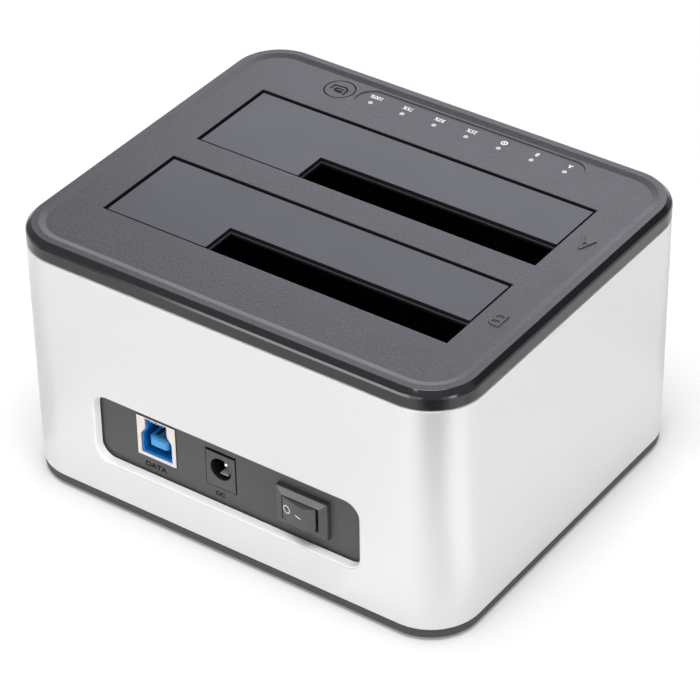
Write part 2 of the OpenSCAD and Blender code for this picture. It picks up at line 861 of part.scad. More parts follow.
module hinge_rod(y0) {
    color("lightgray") translate([ear_xs[0], y0 + axis_dy, axis_z])
        bar_x(rod_d, rod_l);
}

// Path of a torsion spring: a leg under the flap, the turns, and a leg under the cover
function spring_path() = concat(
    [
        [spring_x, -spring_leg, spring_tip],
        [spring_x, -spring_leg / 2, (spring_r + spring_tip) / 2]
    ],
    [for (i = [0 : spring_turns * spring_steps])
        let (a = 90 - 360 * i / spring_steps)
        [
            spring_x + spring_pitch * i / spring_steps,
            spring_r * cos(a),
            spring_r * sin(a)
        ]],
    [[spring_x + spring_pitch * spring_turns, ear_back, spring_r + spring_rise]]
);

// Direction of a path at point i
function heading(path, i) =
    let (d = path[min(i + 1, len(path) - 1)] - path[max(i - 1, 0)])
    d / norm(d);

// Points of a round wire's ring about point i of a path
function wire_ring(path, i, d, sides) =
    let (
        t = heading(path, i),
        n0 = cross(t, [1, 0, 0]),
        n = n0 / norm(n0),
        b = cross(t, n)
    )
    [for (k = [0 : sides - 1])
        let (a = 360 * k / sides)
        path[i] + d / 2 * (cos(a) * n + sin(a) * b)];

// Least gap of a wire to itself, measured between points that lie that many steps or more apart
function wire_gap(path, d, apart) =
    min([for (i = [0 : len(path) - 1 - apart], j = [i + apart : len(path) - 1])
        norm(path[i] - path[j])]) - d;

// Round wire along a path
module wire(path, d, sides) {
    n = len(path);
    points = [for (i = [0 : n - 1]) each wire_ring(path, i, d, sides)];
    walls = [for (i = [0 : n - 2], k = [0 : sides - 1])
        let (a = i * sides + k, b = i * sides + (k + 1) % sides)
        each [[a, b, b + sides], [a, b + sides, a + sides]]];
    start = [for (k = [1 : sides - 2]) [0, k + 1, k]];
    last = (n - 1) * sides;
    end = [for (k = [1 : sides - 2]) [last, last + k, last + k + 1]];
    polyhedron(points, concat(walls, start, end));
}

module flap_spring(y0) {
    path = spring_path();
    echo(flap_spring_least_gap = wire_gap(path, spring_wire, spring_steps - 2));
    color("silver") translate([0, y0 + axis_dy, axis_z]) wire(path, spring_wire, spring_sides);
}

module copy_button() {
    color("#505156") translate([button_x, button_y, 0]) {
        translate([0, 0, plate_z - fit]) cylinder(d = button_d, h = field_z - plate_z + fit);
        translate([0, 0, plate_z - fit - button_flange[1]])
            cylinder(d = button_flange[0], h = button_flange[1]);
        translate([0, 0, plunger_top]) cylinder(d = plunger_d, h = plate_z - fit - plunger_top);
    }
}

module key_plunger() {
    color("black") translate([button_x, button_y, ind_top + button_travel + 2 * fit])
        cylinder(d = plunger_d, h = plunger_top - ind_top - button_travel - 2 * fit);
}

module key_switch() {
    color("#303030") translate([button_x, button_y, ind_top]) difference() {
        translate([-key_size / 2, -key_size / 2, 0]) cube([key_size, key_size, key_h]);
        translate([0, 0, fit]) cylinder(d = plunger_d + 2 * pin_fit, h = key_h);
    }
}

module indicator_board() {
    color("darkgreen") difference() {
        block([ind_x0, ind_y0, ind_top - board_t], [ind_x1, ind_y1, ind_top]);
        for (x = ind_screw_xs)
            translate([x, led_y, ind_top - board_t]) through(ind_screw[0] + 2 * fit, board_t);
    }
}

module indicator_lights() {
    color("white")
        for (i = [0 : led_count - 1])
            translate([led_x0 + i * led_pitch, led_y, ind_top])
                translate([-led_size[0] / 2, -led_size[1] / 2, 0]) cube(led_size);
}

// Clear rods joined by a bar under the cover
module light_guides() {
    rod_z = ind_top + led_size[2] + fit;
    bar_z = plate_z - guide_bar[1] - fit;
    color("whitesmoke") {
        for (i = [0 : led_count - 1])
            translate([led_x0 + i * led_pitch, led_y, rod_z])
                cylinder(d = led_d, h = field_z - strip_drop - rod_z);
        block(
            [led_x0 - guide_bar[0] / 2, led_y - guide_bar[0] / 2, bar_z],
            [led_x1 + guide_bar[0] / 2, led_y + guide_bar[0] / 2, bar_z + guide_bar[1]]
        );
    }
}

module indicator_screws() {
    color("gray")
        for (x = ind_screw_xs)
            translate([x, led_y, ind_top]) screw(ind_screw, board_t);
}

// Flat cable from the indicator board down the back of bay A to the main board
module indicator_ribbon() {
    top_z = ind_top - board_t - plug_h;
    low_z = board_z + plug_h;
    bend_y = ribbon_y - ribbon_bend;
    bend_z = low_z + ribbon_bend;
    color("lightgray") along_x(ribbon_x - ribbon_w / 2, ribbon_w) {
        translate([ribbon_y - ribbon_t, bend_z]) square([ribbon_t, top_z - bend_z]);
        translate([ribbon_end_y, low_z]) square([bend_y - ribbon_end_y, ribbon_t]);
        translate([bend_y, bend_z]) intersection() {
            difference() {
                circle(ribbon_bend);
                circle(ribbon_bend - ribbon_t);
            }
            translate([0, -ribbon_bend]) square(ribbon_bend);
        }
    }
}

module ribbon_plugs() {
    color("ivory") {
        block(
            [ribbon_x - ribbon_w / 2, ribbon_y - plug_d / 2, ind_top - board_t - plug_h],
            [ribbon_x + ribbon_w / 2, ribbon_y + plug_d / 2, ind_top - board_t]
        );
        block(
            [ribbon_x - ribbon_w / 2, ribbon_end_y - plug_d / 2, board_z],
            [ribbon_x + ribbon_w / 2, ribbon_end_y + plug_d / 2, board_z + plug_h]
        );
    }
}

module main_board() {
    color("darkgreen") difference() {
        block([board_x0, board_y0, board_z - board_t], [board_x1, board_y1, board_z]);
        at_board_screws() translate([0, 0, board_z - board_t]) through(board_screw[0] + 2 * fit, board_t);
    }
}

// Upright drive connector with a signal slot, a power slot and end horns
module drive_connector(y0) {
    key = 1.2;
    horn = [3, 1.5];
    half = sata_slot / 2;
    low = sata_h - sata_depth;
    color("#18191b") translate([sata_x, y0 + sata_in, board_z]) difference() {
        union() {
            block([-sata_l / 2, -sata_w / 2, 0], [sata_l / 2, sata_w / 2, sata_h]);
            for (x = [-sata_l / 2, sata_l / 2 - horn[0]])
                block([x, -sata_w / 2, sata_h - over], [x + horn[0], sata_w / 2, sata_h + horn[1]]);
        }
        for (i = [0, 1]) {
            x = sata_starts[i];
            block([x, -half, low], [x + sata_lengths[i], half, sata_h + over]);
            block([x, -half - key, low], [x + sata_slot, half, sata_h + over]);
        }
    }
}

// Rows of contacts on the far walls of the two slots
module drive_contacts(y0) {
    wall_y = sata_slot / 2 - contact[1];
    color("gold") translate([sata_x, y0 + sata_in + wall_y, board_z + sata_h - sata_depth])
        for (row = [0, 1], i = [0 : sata_counts[row] - 1])
            translate([sata_starts[row] + contact_first + i * contact_pitch, 0, 0]) cube(contact);
}

module bridge_chip() {
    color("#222222") translate([usb_x - usb_w / 2 - chip[0] - part_side, board_y0 + part_back, board_z])
        cube(chip);
}

module capacitors() {
    color("#2b3350")
        for (x = cap_xs) translate([x, cap_y, board_z]) cylinder(d = cap_d, h = cap_h);
}

module choke_coil() {
    mid_x = (dc_x + dc_w / 2 + switch_x - switch_body_w / 2) / 2;
    color("#3a3a3a") translate([mid_x - choke[0] / 2, board_y0 + part_back, board_z]) cube(choke);
}

// Mouth of the data socket: a wide lower part, drawn in by two slants to a narrow upper part
module usb_mouth(inset) {
    low = usb_mouth_low - inset;
    high = usb_mouth_high - inset;
    z = usb_mouth_z;
    translate([usb_x, board_z]) polygon([
        [-low, z[0] + inset],
        [low, z[0] + inset],
        [low, z[1]],
        [high, z[2]],
        [high, z[3] - inset],
        [-high, z[3] - inset],
        [-high, z[2]],
        [-low, z[1]]
    ]);
}

module usb_shell() {
    x0 = usb_x - usb_w / 2;
    x1 = usb_x + usb_w / 2;
    color("#e8e4dc") difference() {
        block([x0, panel_y, board_z], [x1, panel_y + usb_depth, board_z + usb_h]);
        block(
            [x0 + usb_sheet, panel_y + usb_sheet, board_z + usb_sheet],
            [x1 - usb_sheet, panel_y + usb_depth + over, board_z + usb_h - usb_sheet]
        );
        along_y(panel_y - over, usb_sheet + 2 * over) usb_mouth(0);
    }
}

module usb_insulator() {
    in = usb_sheet;
    front = panel_y + usb_sheet;
    color("#0a4f94") difference() {
        block(
            [usb_x - usb_w / 2 + in, front, board_z + in],
            [usb_x + usb_w / 2 - in, panel_y + usb_depth, board_z + usb_h - in]
        );
        along_y(front - over, usb_cavity + over) usb_mouth(usb_mouth_wall);
    }
}

// Tongue that stands in the mouth, bevelled at its front edges
module usb_tongue() {
    y0 = panel_y + tongue_back;
    y1 = panel_y + usb_sheet + usb_cavity;
    hw = tongue_w / 2;
    z0 = board_z + tongue_z;
    z1 = z0 + tongue_h;
    b = tongue_bevel;
    color("#58b8f0") intersection() {
        linear_extrude(z1) polygon([
            [usb_x - hw + b, y0],
            [usb_x + hw - b, y0],
            [usb_x + hw, y0 + b],
            [usb_x + hw, y1],
            [usb_x - hw, y1],
            [usb_x - hw, y0 + b]
        ]);
        along_x(usb_x - hw, tongue_w) polygon([
            [y0, z0],
            [y0, z1 - b],
            [y0 + b, z1],
            [y1, z1],
            [y1, z0]
        ]);
    }
}

// Contacts above and below the tongue and under the mouth's roof
module usb_contacts() {
    w = usb_contact_w;
    t = usb_contact_t;
    y0 = panel_y + tongue_back + tongue_bevel + usb_contact_back;
    y1 = panel_y + usb_sheet + usb_cavity;
    low_z = board_z + tongue_z;
    high_z = low_z + tongue_h;
    roof_z = board_z + usb_mouth_z[3] - usb_mouth_wall;
    color("gold") {
        for (x = [usb_x - usb_contact_x, usb_x + usb_contact_x]) {
            block([x - w / 2, y0, high_z], [x + w / 2, y1, high_z + t]);
            block([x - w / 2, y0, low_z - t], [x + w / 2, y1, low_z]);
        }
        for (i = [-2 : 2])
            block([usb_x + i - t, y0, roof_z - 2 * t], [usb_x + i + t, y1, roof_z]);
    }
}

module dc_housing() {
    color("#3a3a3c") difference() {
        block([dc_x - dc_w / 2, panel_y, board_z], [dc_x + dc_w / 2, panel_y + dc_depth, board_z + dc_h]);
        translate([dc_x, panel_y - over, dc_z]) bar_y(dc_bore, dc_bore_l + over);
    }
}

module dc_centre_pin() {
    tip = dc_pin / 2;
    l = dc_bore_l - dc_pin_back;
    color("silver") translate([dc_x, panel_y + dc_pin_back, dc_z]) rotate([-90, 0, 0]) rotate_extrude() {
        translate([0, tip]) square([tip, l - tip]);
        intersection() {
            translate([0, tip]) circle(tip);
            square([tip, tip]);
        }
    }
}

// Leaf that presses on the plug's sleeve, at the bottom of the bore
module dc_spring_contact() {
    color("silver") translate([dc_x - dc_leaf[0] / 2, panel_y + dc_bore_l - dc_leaf[1], dc_z - dc_leaf_r])
        cube(dc_leaf);
}

// Frame of the switch: a block bevelled towards its opening
module switch_frame() {
    y0 = panel_y;
    y1 = panel_y - switch_edge;
    y2 = panel_y - switch_proud;
    hw = switch_w / 2;
    hh = switch_h / 2;
    ow = rocker_opening / 2;
    oh = rocker_h / 2 + rocker_play;
    translate([switch_x, 0, switch_z]) intersection() {
        translate([0, 0, -hh]) linear_extrude(2 * hh)
            polygon([[-hw, y0], [hw, y0], [hw, y1], [ow, y2], [-ow, y2], [-hw, y1]]);
        along_x(-hw, 2 * hw)
            polygon([[y0, -hh], [y0, hh], [y1, hh], [y2, oh], [y2, -oh], [y1, -hh]]);
    }
}

module switch_housing() {
    ow = rocker_opening / 2;
    cw = rocker_cavity_w / 2;
    ch = rocker_h / 2 + rocker_play;
    front = panel_y - switch_proud;
    cavity_y = pivot_y + rocker_cavity;
    color("#454547") difference() {
        union() {
            switch_frame();
            translate([switch_x, 0, switch_z]) block(
                [-switch_body_w / 2, panel_y - over, -switch_body_h / 2],
                [switch_body_w / 2, panel_y + switch_back, switch_body_h / 2]
            );
        }
        translate([switch_x, 0, switch_z - ch]) linear_extrude(2 * ch) polygon([
            [-ow, front - over],
            [ow, front - over],
            [ow, front + switch_land],
            [cw, panel_y],
            [cw, cavity_y],
            [-cw, cavity_y],
            [-cw, panel_y],
            [-ow, front + switch_land]
        ]);
        translate([switch_x, pivot_y, switch_z - ch - pivot_l - fit])
            cylinder(d = pivot_d + 2 * pin_fit, h = 2 * (ch + pivot_l + fit));
    }
}

// Rocker with its O end pressed in
module switch_rocker() {
    half = [[rocker_half, rocker_front], rocker_side, rocker_skirt, rocker_root];
    outline = concat(
        [for (p = half) [p[0], -p[1]]],
        [for (i = [len(half) - 1 : -1 : 0]) [-half[i][0], -half[i][1]]]
    );
    pivot_h = rocker_h + 2 * (rocker_play + pivot_l);
    color("#3c3c3e") translate([switch_x, pivot_y, switch_z]) rotate([0, 0, -rocker_tilt]) {
        translate([0, 0, -rocker_h / 2]) linear_extrude(rocker_h) polygon(outline);
        translate([0, 0, -pivot_h / 2]) cylinder(d = pivot_d, h = pivot_h);
    }
}

module switch_terminals() {
    color("gold")
        for (side = [-1, 1])
            translate([
                switch_x + side * terminal_x - terminal[0] / 2,
                panel_y + switch_back,
                switch_z - terminal[2] / 2
            ]) cube(terminal);
}

// Two short leads from the terminals down to the main board
module switch_leads() {
    top = switch_z - terminal[2] / 2;
    y = panel_y + switch_back + terminal[1] - lead_d;
    color("firebrick")
        for (side = [-1, 1])
            translate([switch_x + side * terminal_x, y, board_z]) cylinder(d = lead_d, h = top - board_z);
}

module base_screws() {
    color("gray") at_pillars() translate([0, 0, sleeve_z]) screw(base_screw, base_lip - base_screw[2]);
}

module frame_screws() {
    color("gray") at_lugs() translate([0, 0, lug_z]) screw(frame_screw, lug_thick);
}

module board_screws() {
    color("gray") at_board_screws() translate([0, 0, board_z]) screw(board_screw, board_t);
}

module foot(sx, sy) {
    color("#1c1c1c") translate([sx * foot_x, sy * foot_y, 0]) rotate_extrude() polygon([
        [0, 0],
        [foot_d / 2 - sleeve_bevel, 0],
        [foot_d / 2, sleeve_bevel],
        [foot_d / 2, foot_drop + foot_seat],
        [0, foot_drop + foot_seat]
    ]);
}

outer_sleeve();
top_cover();
base_plate();
bay_frame();
port_panel();
flap(bay_a_y);  // flap_a
flap(bay_b_y);  // flap_b
hinge_rod(bay_a_y);  // hinge_rod_a
hinge_rod(bay_b_y);  // hinge_rod_b
flap_spring(bay_a_y);  // flap_spring_a
flap_spring(bay_b_y);  // flap_spring_b
copy_button();
key_plunger();
key_switch();
indicator_board();
indicator_lights();
light_guides();
indicator_screws();
indicator_ribbon();
ribbon_plugs();
main_board();
drive_connector(bay_a_y);  // drive_connector_a
drive_connector(bay_b_y);  // drive_connector_b
drive_contacts(bay_a_y);  // drive_contacts_a
drive_contacts(bay_b_y);  // drive_contacts_b
bridge_chip();
capacitors();
choke_coil();
usb_shell();
usb_insulator();
usb_tongue();
usb_contacts();
dc_housing();
dc_centre_pin();
dc_spring_contact();
switch_housing();
switch_rocker();
switch_terminals();
switch_leads();
base_screws();
frame_screws();
board_screws();
foot(-1, -1);  // foot_front_left
foot(1, -1);  // foot_front_right
foot(-1, 1);  // foot_back_left
foot(1, 1);  // foot_back_right
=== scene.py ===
"""Looks of a dual-bay hard drive dock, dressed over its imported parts."""

import json
import math
from collections import namedtuple

import bmesh
import bpy
from bpy.props import FloatProperty, FloatVectorProperty, PointerProperty
from mathutils import Euler, Matrix, Vector


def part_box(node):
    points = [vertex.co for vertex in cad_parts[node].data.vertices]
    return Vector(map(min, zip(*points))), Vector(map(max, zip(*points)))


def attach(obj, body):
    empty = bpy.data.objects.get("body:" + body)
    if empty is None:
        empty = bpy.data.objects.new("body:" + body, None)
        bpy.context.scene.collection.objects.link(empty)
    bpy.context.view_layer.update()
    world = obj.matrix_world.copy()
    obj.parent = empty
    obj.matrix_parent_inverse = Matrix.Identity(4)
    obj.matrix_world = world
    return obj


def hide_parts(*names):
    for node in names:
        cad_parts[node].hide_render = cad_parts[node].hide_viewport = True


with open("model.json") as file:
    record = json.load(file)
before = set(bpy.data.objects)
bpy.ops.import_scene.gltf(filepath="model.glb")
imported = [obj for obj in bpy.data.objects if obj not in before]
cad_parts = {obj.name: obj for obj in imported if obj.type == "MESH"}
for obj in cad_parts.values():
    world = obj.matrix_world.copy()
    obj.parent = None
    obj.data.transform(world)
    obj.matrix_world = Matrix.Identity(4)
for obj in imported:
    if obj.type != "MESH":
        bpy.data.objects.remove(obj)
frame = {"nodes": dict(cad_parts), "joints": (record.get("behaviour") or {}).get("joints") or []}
NODES = frame["nodes"]
JOINTS = {joint["name"]: joint for joint in frame["joints"]}
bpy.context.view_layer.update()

bl_info = {
    "name": "Hard drive dock",
    "version": (1, 0, 0),
    "blender": (4, 5, 0),
    "location": "View3D > Sidebar > Dock",
    "description": "Gives a hard drive dock its finishes, its marks and a plain studio",
    "category": "Object",
}

MM = 0.001

# Faces that carry marks
BUTTON_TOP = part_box("copy_button")[1].z
STRIP_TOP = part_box("light_guides")[1].z
PANEL_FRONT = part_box("usb_shell")[0].y
LIGHTS_Y = (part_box("light_guides")[0].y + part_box("light_guides")[1].y) / 2
LIGHT_HALF = 1.0 * MM
FIRST_LIGHT_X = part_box("indicator_lights")[0].x + LIGHT_HALF
LIGHT_PITCH = 10.0 * MM
ROCKER_PIVOT = Vector(JOINTS["switch_rocker_tilt"]["pos_m"])
ROCKER_REST = math.radians(-14.0)
ROCKER_FRONT = 6.5 * MM

# Marks face a reader who sits behind the lights, or stand up on a front face
FACING_BACK = Matrix.Rotation(math.pi, 4, "Z")
UPRIGHT = Matrix.Rotation(math.pi / 2, 4, "X")

# Where one finish turns into another, and where light and shade are painted on
RIM = (61.0 * MM, 50.6 * MM)
WINDOW_HALF = 43.0 * MM
WINDOW_DEPTH = 6.0 * MM
WINDOW_START = 0.2 * MM
SEAM_HEIGHT = 0.1 * MM
BORE_MOUTH = 0.3 * MM
# Bare sawn metal with painted light, for the walls of the port window
SAWN_METAL_AND_PAINTED_LIGHT = (0.94, 0.94, 0.94)
# Painted shadow along the seam under the cover
SEAM_SHADOW_GREY = (0.2, 0.2, 0.2, 1)
# Painted shade deep in the power socket's bore
BORE_SHADE_BLACK = (0.006, 0.006, 0.006, 1)

# Edges of the dressed nodes
WELD_GAP = 1e-6
JOINED_BELOW = math.radians(0.4)
ROUNDED_ABOVE = math.radians(28)
SHARP_ABOVE = math.radians(12)

# Grain of every finish
NOISE_LOW, NOISE_HIGH = 0.3, 0.7
BROAD_GRAIN = 14.0 * MM
GLOSS_SPREAD = 0.06

# Ribs in the data socket's mouth
RIB_COUNT = 5
RIB_PITCH = 1.0 * MM
RIB_SIZE = Vector((0.55, 1.5, 0.4)) * MM
RIB_EDGE = 0.08 * MM
RIB_INSET = 0.45 * MM

# Flap springs
SPRING_WIRE = 0.4 * MM
SPRING_RADIUS = 1.3 * MM
SPRING_PITCH = 0.85 * MM
SPRING_LEG = 6.0 * MM
SPRING_RISE = 0.9 * MM
WIRE_SIDES = 10
STEPS_PER_TURN = 24

# Printed and engraved marks
MARK_DEPTH = 0.04 * MM
MARK_LINE = 0.32 * MM
PRINT_LIFT = 0.02 * MM
ENGRAVING_LIFT = 0.01 * MM
RING_STEPS = 40
BAR_END = 0.49
LABELS = {
    0: ("100%", "full"),
    1: ("75%", "three_quarters"),
    2: ("50%", "half"),
    3: ("25%", "quarter"),
    5: ("B", "bay_b"),
    6: ("A", "bay_a"),
}
POWER_LIGHT = 4
LABEL_REACH = 2.85 * MM
LABEL_WEIGHT = 0.02 * MM
LABEL_STRETCH = 0.85
POWER_RING = 1.25
POWER_STEM = 0.55

# Words under the sockets: x, z and height in millimetres
PORT_WORDS = {"DATA": (-24.0, 16.7, 1.5), "DC": (-3.6, 16.9, 1.25)}
WORD_WEIGHT = 0.06 * MM
WORD_STRETCH = 1.15

# Strokes of the copy sign, in millimetres from the button's middle
COPY_LINE = 0.5 * MM
COPY_DEPTH = 0.03 * MM
COPY_STROKES = {
    "tray_left": ((2.4, 0.7), (2.3, -1.2)),
    "tray_low": ((2.3, -1.2), (-1.0, -1.5)),
    "tray_corner": ((-1.0, -1.5), (-2.2, -0.6)),
    "tray_right": ((-2.2, -0.6), (-2.2, 1.7)),
    "sheet_left": ((1.2, 0.9), (1.1, -0.1)),
    "sheet_low": ((1.1, -0.1), (-1.2, -0.2)),
    "block_low": ((0.6, 0.8), (-1.2, 0.8)),
    "block_high": ((0.6, 1.3), (-1.2, 1.3)),
}

# Signs on the rocker, from its middle
SIGN_OFF_X = -2.3 * MM
SIGN_ON_X = 1.95 * MM
SIGN_ON_LENGTH = 2.2 * MM

# Softboxes: place, side and colour. Each one's power is the studio setting of that name.
WHITE = (1, 1, 1)
COOL = (0.94, 0.94, 1.08)
SOFTBOXES = {
    "key": ((-0.44, 1.04, 0.50), 0.9, COOL),
    "top": ((0.10, -0.20, 1.30), 0.8, WHITE),
    "fill": ((0.12, -1.18, 0.40), 0.6, WHITE),
    "right": ((1.10, -0.55, 0.40), 0.5, WHITE),
}
SOFTBOX_TARGET = (0, 0, 0.05)

# Narrow beam on the left wall of the port window
BEAM_PLACE = (0.155, -0.088, 0.026)
BEAM_TARGET = (-0.043, -0.056, 0.020)
BEAM_ANGLE = math.radians(14)
BEAM_SOURCE = 4.0 * MM

# Cards that show only in reflections: middle, size, turn in degrees and glow
LINE_CARDS = {
    "line_card": ((-0.32, -1.12, 0.10), (0.62, 0.22), (90, 0, -16)),
    "edge_card": ((1.08, -0.39, 0.09), (0.26, 0.22), (90, 0, 70)),
}
CARDS = {
    "near_card": ((0.167, -0.183, 0.001), (0.16, 0.16), (0, 0, -51.5), 0.0),
    "corner_card": ((0.094, -0.092, 0.001), (0.07, 0.05), (0, 0, -51.5), 0.8),
    "front_card": ((0.040, -0.165, 0.001), (0.20, 0.06), (0, 0, -101.5), 1.2),
    "right_card": ((0.185, -0.061, 0.001), (0.20, 0.055), (0, 0, -5.5), 1.33),
    "far_card": ((0.039, 0.104, 0.001), (0.08, 0.08), (0, 0, 115), 0.7),
    "left_card": ((-0.112, -0.043, 0.001), (0.08, 0.09), (0, 0, 170), 0.78),
    "slope_card": ((-0.33, 1.58, 1.86), (0.5, 0.5), (42, 0, 189), 5.5),
    "back_card": ((0.53, 0.59, 0.45), (0.5, 0.5), (90, 0, 138), 0.0),
}

# Floor, and the camera found from the photograph's edges
FLOOR_HALF = 3.0
FLOOR_BOUNCED = (0.6, 0.6, 0.6, 1)
FLOOR_SEEN = (0.64, 0.64, 0.64, 1)
CAMERA_PLACE = (0.39830, -0.55908, 0.53172)
CAMERA_TURN = (53.9066, 0.7419, 34.9745)
CAMERA_SENSOR = 36.0

# Faces whose normal rises by about height get that roughness, no grain and the colour times shade:
# painted shade where shade is below 1 and painted light where it is above 1. With rim, an (x, y)
# pair, faces further in than that get only the colour times shade.
PolishAndPaintedLight = namedtuple("PolishAndPaintedLight", "height width roughness shade rim", defaults=(None,))


def colour_property(name, description, default):
    return FloatVectorProperty(
        name=name, description=description, default=default, size=3, subtype="COLOR", min=0, max=1
    )


def length_property(name, description, default):
    return FloatProperty(
        name=name, description=description, default=default, min=0,
        subtype="DISTANCE", unit="LENGTH",
    )


def power_property(name, description, default):
    return FloatProperty(name=name, description=description, default=default, min=0, unit="POWER")


def number_property(name, description, default, **limits):
    return FloatProperty(name=name, description=description, default=default, **limits)


class DockColours(bpy.types.PropertyGroup):
    """Colours of the dock's finishes"""

    sleeve: colour_property("Sleeve", "Blasted aluminium of the sleeve", (0.845, 0.832, 0.838))
    cover: colour_property("Cover", "Textured plastic of the cover", (0.028, 0.028, 0.032))
    flap: colour_property("Flaps", "Satin plastic of the flaps", (0.030, 0.031, 0.038))
    base: colour_property("Base", "Plastic of the base", (0.082, 0.081, 0.082))
    panel: colour_property("Panel", "Plastic of the port panel", (0.085, 0.085, 0.086))
    switch: colour_property("Switch", "Plastic of the rocker switch", (0.072, 0.071, 0.072))
    socket: colour_property("Sockets", "Tin plate of the socket shells", (0.86, 0.79, 0.74))
    insulator: colour_property("Insulator", "Dark blue of the data socket", (0.0, 0.16, 0.52))
    tongue: colour_property("Tongue", "Light blue of the data socket's tongue", (0.08, 0.46, 0.90))
    # The ribs' pale blue is partly their own blue and partly painted highlight, paler than the
    # socket's blue to stand for light catching them under the roof
    rib: colour_property("Ribs", "Pale blue of the ribs in the data socket", (0.22, 0.68, 0.95))
    marks: colour_property("White marks", "Printed signs and figures", (0.85, 0.85, 0.85))
    engraving: colour_property("Engraving", "Dark engraved signs", (0.012, 0.012, 0.013))


class DockSizes(bpy.types.PropertyGroup):
    """Sizes of the dock's marks and softened edges"""

    edge: length_property("Edge", "Rounding of the parts' edges", 0.1 * MM)
    label: length_property("Label height", "Height of the figures beside the lights", 1.5 * MM)
    sign: length_property("Switch sign", "Outside diameter of the ring on the switch", 2.5 * MM)


class DockStudio(bpy.types.PropertyGroup):
    """Light and view of the plain studio"""

    key: power_property("Key light", "Power of the low softbox behind", 5.0)
    top: power_property("Top light", "Power of the softbox overhead", 17.5)
    fill: power_property("Fill light", "Power of the softbox in front", 2.1)
    right: power_property("Right light", "Power of the low softbox at the right", 0.68)
    window: power_property("Window light", "Power of the narrow beam along the port window", 0.58)
    line: number_property("Line", "Glow of the cards that draw the rim's line", 6.0, min=0)
    room: number_property("Room", "Strength of the even light all round", 0.32, min=0)
    floor: number_property("Floor", "Glow that keeps the floor white", 0.19, min=0, max=1)
    lens: number_property("Lens", "Focal length of the camera in millimetres", 169.04, min=1)


def colours():
    return bpy.context.scene.dock_colours


def sizes():
    return bpy.context.scene.dock_sizes


def studio():
    return bpy.context.scene.dock_studio


def smoothing_group():
    """Geometry nodes that shade faces smooth and leave steep edges sharp."""
    name = "smooth_by_angle"
    if name in bpy.data.node_groups:
        return bpy.data.node_groups[name]
    group = bpy.data.node_groups.new(name, "GeometryNodeTree")
    for side in ("INPUT", "OUTPUT"):
        group.interface.new_socket("Geometry", in_out=side, socket_type="NodeSocketGeometry")
    nodes, links = group.nodes, group.links
    start = nodes.new("NodeGroupInput")
    end = nodes.new("NodeGroupOutput")
    faces = nodes.new("GeometryNodeSetShadeSmooth")
    faces.domain = "FACE"
    edges = nodes.new("GeometryNodeSetShadeSmooth")
    edges.domain = "EDGE"
    edges.inputs["Shade Smooth"].default_value = False
    angle = nodes.new("GeometryNodeInputMeshEdgeAngle")
    sharp = nodes.new("FunctionNodeCompare")
    sharp.operation = "GREATER_THAN"
    sharp.inputs["B"].default_value = SHARP_ABOVE
    links.new(angle.outputs["Unsigned Angle"], sharp.inputs["A"])
    links.new(sharp.outputs["Result"], edges.inputs["Selection"])
    links.new(start.outputs[0], faces.inputs["Geometry"])
    links.new(faces.outputs["Geometry"], edges.inputs["Geometry"])
    links.new(edges.outputs["Geometry"], end.inputs[0])
    return group


def soften(obj, width):
    """Joins a node's loose triangles into whole faces, rounds its edges and shades it smooth."""
    weld = obj.modifiers.new("weld", "WELD")
    weld.merge_threshold = WELD_GAP
    flat = obj.modifiers.new("whole_faces", "DECIMATE")
    flat.decimate_type = "DISSOLVE"
    flat.angle_limit = JOINED_BELOW
    if width > 0:
        bevel = obj.modifiers.new("edges", "BEVEL")
        bevel.affect = "EDGES"
        bevel.limit_method = "ANGLE"
        bevel.angle_limit = ROUNDED_ABOVE
        bevel.width = width
        bevel.segments = 2
        bevel.profile = 0.5
        bevel.material = -1
        bevel.use_clamp_overlap = False
    smooth = obj.modifiers.new("smooth", "NODES")
    smooth.node_group = smoothing_group()


def blank_material(name):
    material = bpy.data.materials.new(name)
    material.use_nodes = True
    return material, material.node_tree, material.node_tree.nodes["Principled BSDF"]


def feed(tree, socket, value):
    """Links another socket's value, or sets one that is the same all over."""
    if isinstance(value, bpy.types.NodeSocket):
        tree.links.new(value, socket)
    else:
        socket.default_value = value


def combined(tree, operation, *values):
    """Result of a Math node on those numbers and sockets."""
    node = tree.nodes.new("ShaderNodeMath")
    node.operation = operation
    for socket, value in zip(node.inputs, values):
        feed(tree, socket, value)
    return node.outputs["Value"]


def mixed(tree, kind, mask, first, second):
    """Number (FLOAT) or colour (RGBA): first where the mask is 0 and second where it is 1."""
    node = tree.nodes.new("ShaderNodeMix")
    node.data_type = kind
    feed(tree, node.inputs["Factor"], mask)
    feed(tree, node.inputs["A"], first)
    feed(tree, node.inputs["B"], second)
    return node.outputs["Result"]


def axes(tree, kind):
    """X, Y and Z of a point's place (Object) or of its face's direction (Normal) on the piece."""
    coords = tree.nodes.new("ShaderNodeTexCoord")
    parts = tree.nodes.new("ShaderNodeSeparateXYZ")
    tree.links.new(coords.outputs[kind], parts.inputs["Vector"])
    return parts.outputs


def grain_texture(tree, size, detail=3.0):
    """Noise whose grains are about that size."""
    coords = tree.nodes.new("ShaderNodeTexCoord")
    noise = tree.nodes.new("ShaderNodeTexNoise")
    noise.inputs["Scale"].default_value = 1.0 / size
    noise.inputs["Detail"].default_value = detail
    tree.links.new(coords.outputs["Object"], noise.inputs["Vector"])
    return noise.outputs["Fac"]


def spread(tree, value, low, high):
    """Maps the middle of a noise onto the range from low to high."""
    node = tree.nodes.new("ShaderNodeMapRange")
    node.inputs["From Min"].default_value = NOISE_LOW
    node.inputs["From Max"].default_value = NOISE_HIGH
    node.inputs["To Min"].default_value = low
    node.inputs["To Max"].default_value = high
    tree.links.new(value, node.inputs["Value"])
    return node.outputs["Result"]


